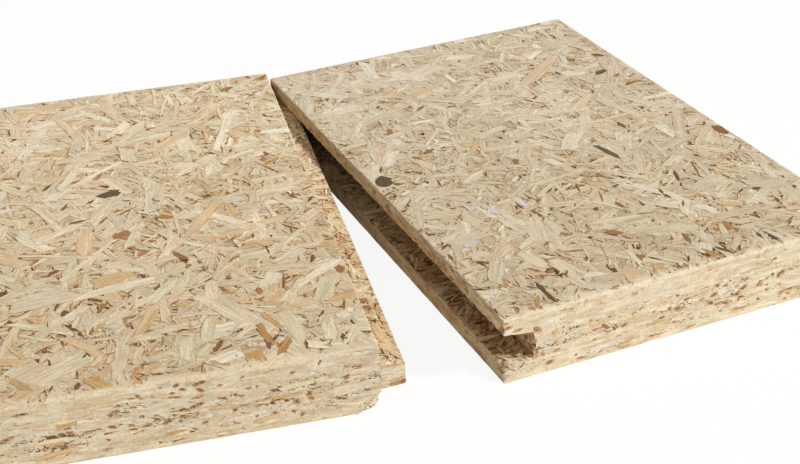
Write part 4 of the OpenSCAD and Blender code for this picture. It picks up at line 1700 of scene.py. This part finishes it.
# Dark slits: painted shade of open gaps between flakes, partly resin-stained wood.
TONGUE_SHADE_SLITS = [
    (-84, 35, 10, 1.2, 122, 0.051), (-9, 56, 6, 1.3, 70, 0.051), (-58, 52, 5, 2, 85, 0.07),
    (-16, 112, 8, 0.7, 76, 0.09), (-21.5, 65, 10, 0.8, 88, 0.05), (-104, 63, 5, 3, 60, 0.045),
    (-102, 45, 3.4, 1.3, 110, 0.057), (-97, 14, 5, 1.1, 60, 0.06), (-84.5, 5, 3.4, 1.6, 80, 0.057),
    (-92, 25.5, 5, 1.1, 150, 0.07), (-87.5, 29, 4, 1.0, 80, 0.07), (-62, 22, 2, 1.2, 30, 0.057),
    (-48, 48, 3, 1.5, 60, 0.08), (-36, 51, 2.2, 1.4, 10, 0.057), (-37, 20.5, 2.4, 0.9, 20, 0.051),
    (-13, 50.5, 2.6, 1.0, 20, 0.05), (-20, 44, 8, 0.9, 80, 0.07), (-45.5, 26, 3.4, 1.2, 110, 0.05),
    (-16.5, 31.5, 2.4, 1.3, 80, 0.05), (-8.3, 7, 6, 1.8, 100, 0.048), (-28, 13, 5, 1.2, 60, 0.054),
    (-19.7, 8, 5.5, 1.3, 88, 0.06), (-30, 11, 6, 1.4, 86, 0.057), (-72, 13, 3.2, 0.8, 175, 0.08),
    (-61.5, 61, 3.2, 1.3, 120, 0.051), (-67, 37, 4, 1.2, 30, 0.09), (-52, 18, 4, 1.1, 95, 0.08),
    (-91.5, 40.5, 3, 1.0, 85, 0.08), (-25, 20.5, 4, 1.1, 85, 0.057), (-12, 23, 4.4, 0.9, 60, 0.054),
    (-5, 25, 8, 0.9, 75, 0.07), (-2, 24, 7, 0.8, 80, 0.09), (-12.8, 124.5, 13, 0.9, 123, 0.09),
    (-33, 63, 5, 0.9, 40, 0.09), (-63, 106, 9, 0.9, 30, 0.06), (-80, 103, 7, 1.4, 10, 0.06),
    (-49, 70, 7, 2, 125, 0.08), (-47, 62, 4, 2.4, 60, 0.09), (-53, 111, 6, 2.4, 95, 0.12),
    (-43, 52, 3.4, 0.8, 15, 0.054), (-77, 57.5, 3, 0.7, 80, 0.1),
]
rng = np.random.default_rng(57)
chips = draw_flakes(rng, tongue_field, TONGUE_CHIPS)
# Dark slots along flake sides: painted shade of the gaps there, partly resin-stained wood.
slots = draw_shade_slots(rng, chips, 1500, (1.5 * MM, 7 * MM), (0.5 * MM, 1.1 * MM), TONGUE_CHIPS["nests"])
heap = pile_up(
    chips,
    draw_flakes(rng, tongue_field, TONGUE_FINES),
    slots,
    chosen_flakes(TONGUE_CHOSEN, LAID_FROM),
    chosen_flakes(TONGUE_SHADE_SLITS, SLITS_FROM),
)
settle(rng, heap, *LESS_FLUSH)
heap = only_seen(heap, tongue_field)
# Painted sheen: this face is made lighter still toward its far end.
tongue_flake_finish = flake_finish(
    "tongue_board_flakes", tongue_place, TONGUE_TONES, 0.2, (198, 164, 108), 0.46, 0.74, 0.07 * MM, 0.15,
    ([(0.3, (204, 182, 148)), (0.5, (218, 199, 166)), (0.7, (230, 212, 182))], 5.0), (1.16, 1.18, 1.23, 1.0),
)
lay_face(
    "tongue_board_face", rng, heap, tongue_field, TONGUE_WEAR, TONGUE_SEED, tongue_flake_finish, tongue_place
)
tongue_break_cut = break_cut(tongue_corner, tongue_legs)
lay_underside(
    "tongue_board_underside_flakes", 59, tongue_field, TONGUE_CHIPS, TONGUE_FINES, TONGUE_WEAR, TONGUE_SEED,
    tongue_flake_finish, tongue_place, [tongue_break_cut],
)


# ---------------------------------------------------------------------------------------------
# Flakes on the tongue and chips on the sides of the tongue board
# As on the groove board: opened flakes along the tongue's upper flank, down over its rounded tip,
# and chips and voids cut through on the sides, where this board is more open.

FLANK_CHOSEN = [
    (2.6, 36, 3.6, 2.4, 20, 0.08), (3, 31.5, 2.8, 2.4, 90, 0.08), (4.2, 14, 16, 3, 100, 0.24),
    (5, 6, 9, 2.4, 120, 0.26), (1.5, 22, 2, 0.9, 60, 0.03), (1.2, 5.5, 2.4, 0.9, 30, 0.03),
    (2.4, 2, 3, 1, 20, 0.05), (3.8, 24, 1.6, 1, 80, 0.06),
]
tongue_flank = (0, TONGUE_REACH, 0, tongue_length)
paler_chips = FLANK_CHIPS | {"odd": 0.12, "odd_tone": (0.22, 0.34), "tone": (0.36, 0.9)}
paler_fines = FLANK_FINES | {"odd": 0.14, "odd_tone": (0.06, 0.3), "tone": (0.34, 0.92)}
flank_chips = draw_flakes(rng, tongue_flank, paler_chips)
flank_fines = draw_flakes(rng, tongue_flank, paler_fines)
lay_flank(
    "tongue_flank_flakes", rng, pile_up(flank_chips, flank_fines, chosen_flakes(FLANK_CHOSEN, FLANK_ORDER)),
    (0, 0, root_high), (TONGUE_REACH, 0, tip_high - root_high), tongue_length,
    ((0.0, 0.1 * MM), (0.6 * MM, 0.9 * MM), (0.1 * MM, 0.5 * MM), (0.1 * MM, 0.4 * MM)),
    tongue_flake_finish, tongue_place, [((TONGUE_REACH - 0.35 * MM, 0, tip_high), (1, 0, 1))],
)

TONGUE_END_CHIPS = [
    (-32, 19.8, 3.4, 0.8, 5, 0.2), (-27.2, 10.5, 9, 1, 3, 0.2), (-59.6, 4.5, 6, 1, 4, 0.2),
    (-54, 20.8, 2.4, 1.3, 40, 0.2), (-88.8, 13.2, 6, 1.3, 8, 0.2), (-93, 7.5, 5, 0.9, 5, 0.2),
]
TONGUE_TIP_CHIPS = [
    (3.4, 13.4, 7, 2.6, 8, 0.93), (4.6, 11.4, 6.4, 2.2, 14, 0.9), (2, 11.8, 4, 1.2, 10, 0.8),
    (3.6, 14.9, 8, 0.9, 7, 0.24), (1.6, 9.4, 3.6, 1.1, 10, 0.7), (4.2, 9.6, 5, 1.0, 16, 0.3),
    (5.4, 8.7, 5, 1.3, 13, 0.16), (6.4, 8.9, 2.6, 1.2, 13, 0.09),
]
tongue_end = (-tongue_width, TONGUE_REACH, 0, THICKNESS)
tongue_side = (0, tongue_length, 0, THICKNESS)
rng = np.random.default_rng(91)
open_side = (-tongue_width, -3 * MM, 0, THICKNESS)
near_side = pile_up(
    draw_lenses(rng, open_side, 5),
    draw_pits(rng, open_side, 20, 50),
    chosen_flakes(TONGUE_END_CHIPS, MARK_ORDER),
)
shut_side = (0, tongue_width, 0, THICKNESS)
far_side = pile_up(draw_lenses(rng, shut_side, 5), draw_pits(rng, shut_side, 20, 90))
long_side = pile_up(draw_lenses(rng, tongue_side, 5), draw_pits(rng, tongue_side, 30, 140))


def off_tongue(x, z, reach):
    """Marks that would hang over the shoulders beside the tongue."""
    over_shoulder = (z < root_low + MARK_CLEAR) | (z > tip_high - MARK_CLEAR)
    return (x + reach > 0) & ((x + reach > TONGUE_REACH) | over_shoulder)


tip_marks = chosen_flakes(TONGUE_TIP_CHIPS, MARK_ORDER)
tip_end = (0, TONGUE_REACH - 0.05 * MM, tip_low, tip_high)
tip_cuts = [
    ((TONGUE_REACH - 0.4 * MM, 0, tip_low), (1, 0, -1)),
    ((TONGUE_REACH - 0.4 * MM, 0, tip_high), (1, 0, 1)),
]
tongue_side_finish = flake_finish(
    "tongue_board_side_chips", tongue_place, TONGUE_TONES, 0.1, (226, 204, 170), 0.25, 0.4, 0.12 * MM, 0.24
)
lay_marks(
    "tongue_board_side_chips", rng,
    [
        (near_side, off_tongue, tongue_end, facing((0, 0, 0), (1, 0, 0)), [tongue_break_cut]),
        (tip_marks, all_stay, tip_end, facing((0, 0, 0), (1, 0, 0)), tip_cuts),
        (far_side, lambda x, z, reach: off_tongue(-x, z, reach), shut_side,
         facing((0, tongue_length, 0), (-1, 0, 0)), []),
        (long_side, all_stay, tongue_side, facing((-tongue_width, tongue_length, 0), (0, -1, 0)), []),
    ],
    tongue_side_finish, tongue_place, (tongue_field, TONGUE_WEAR, TONGUE_SEED),
)
lay_splinters(
    "tongue_corner_splinters", rng, tongue_corner, tongue_legs, tongue_ledges, SPLINTERS,
    [
        ((0, 0, 0), (1, 0, 0)),
        ((0, 0, 0), (0, -1, 0)),
        ((0, 0, root_low), (0, 0, 1)),
        ((0, 0, 0), (0, 0, -1)),
    ],
    tongue_flake_finish, tongue_place,
)
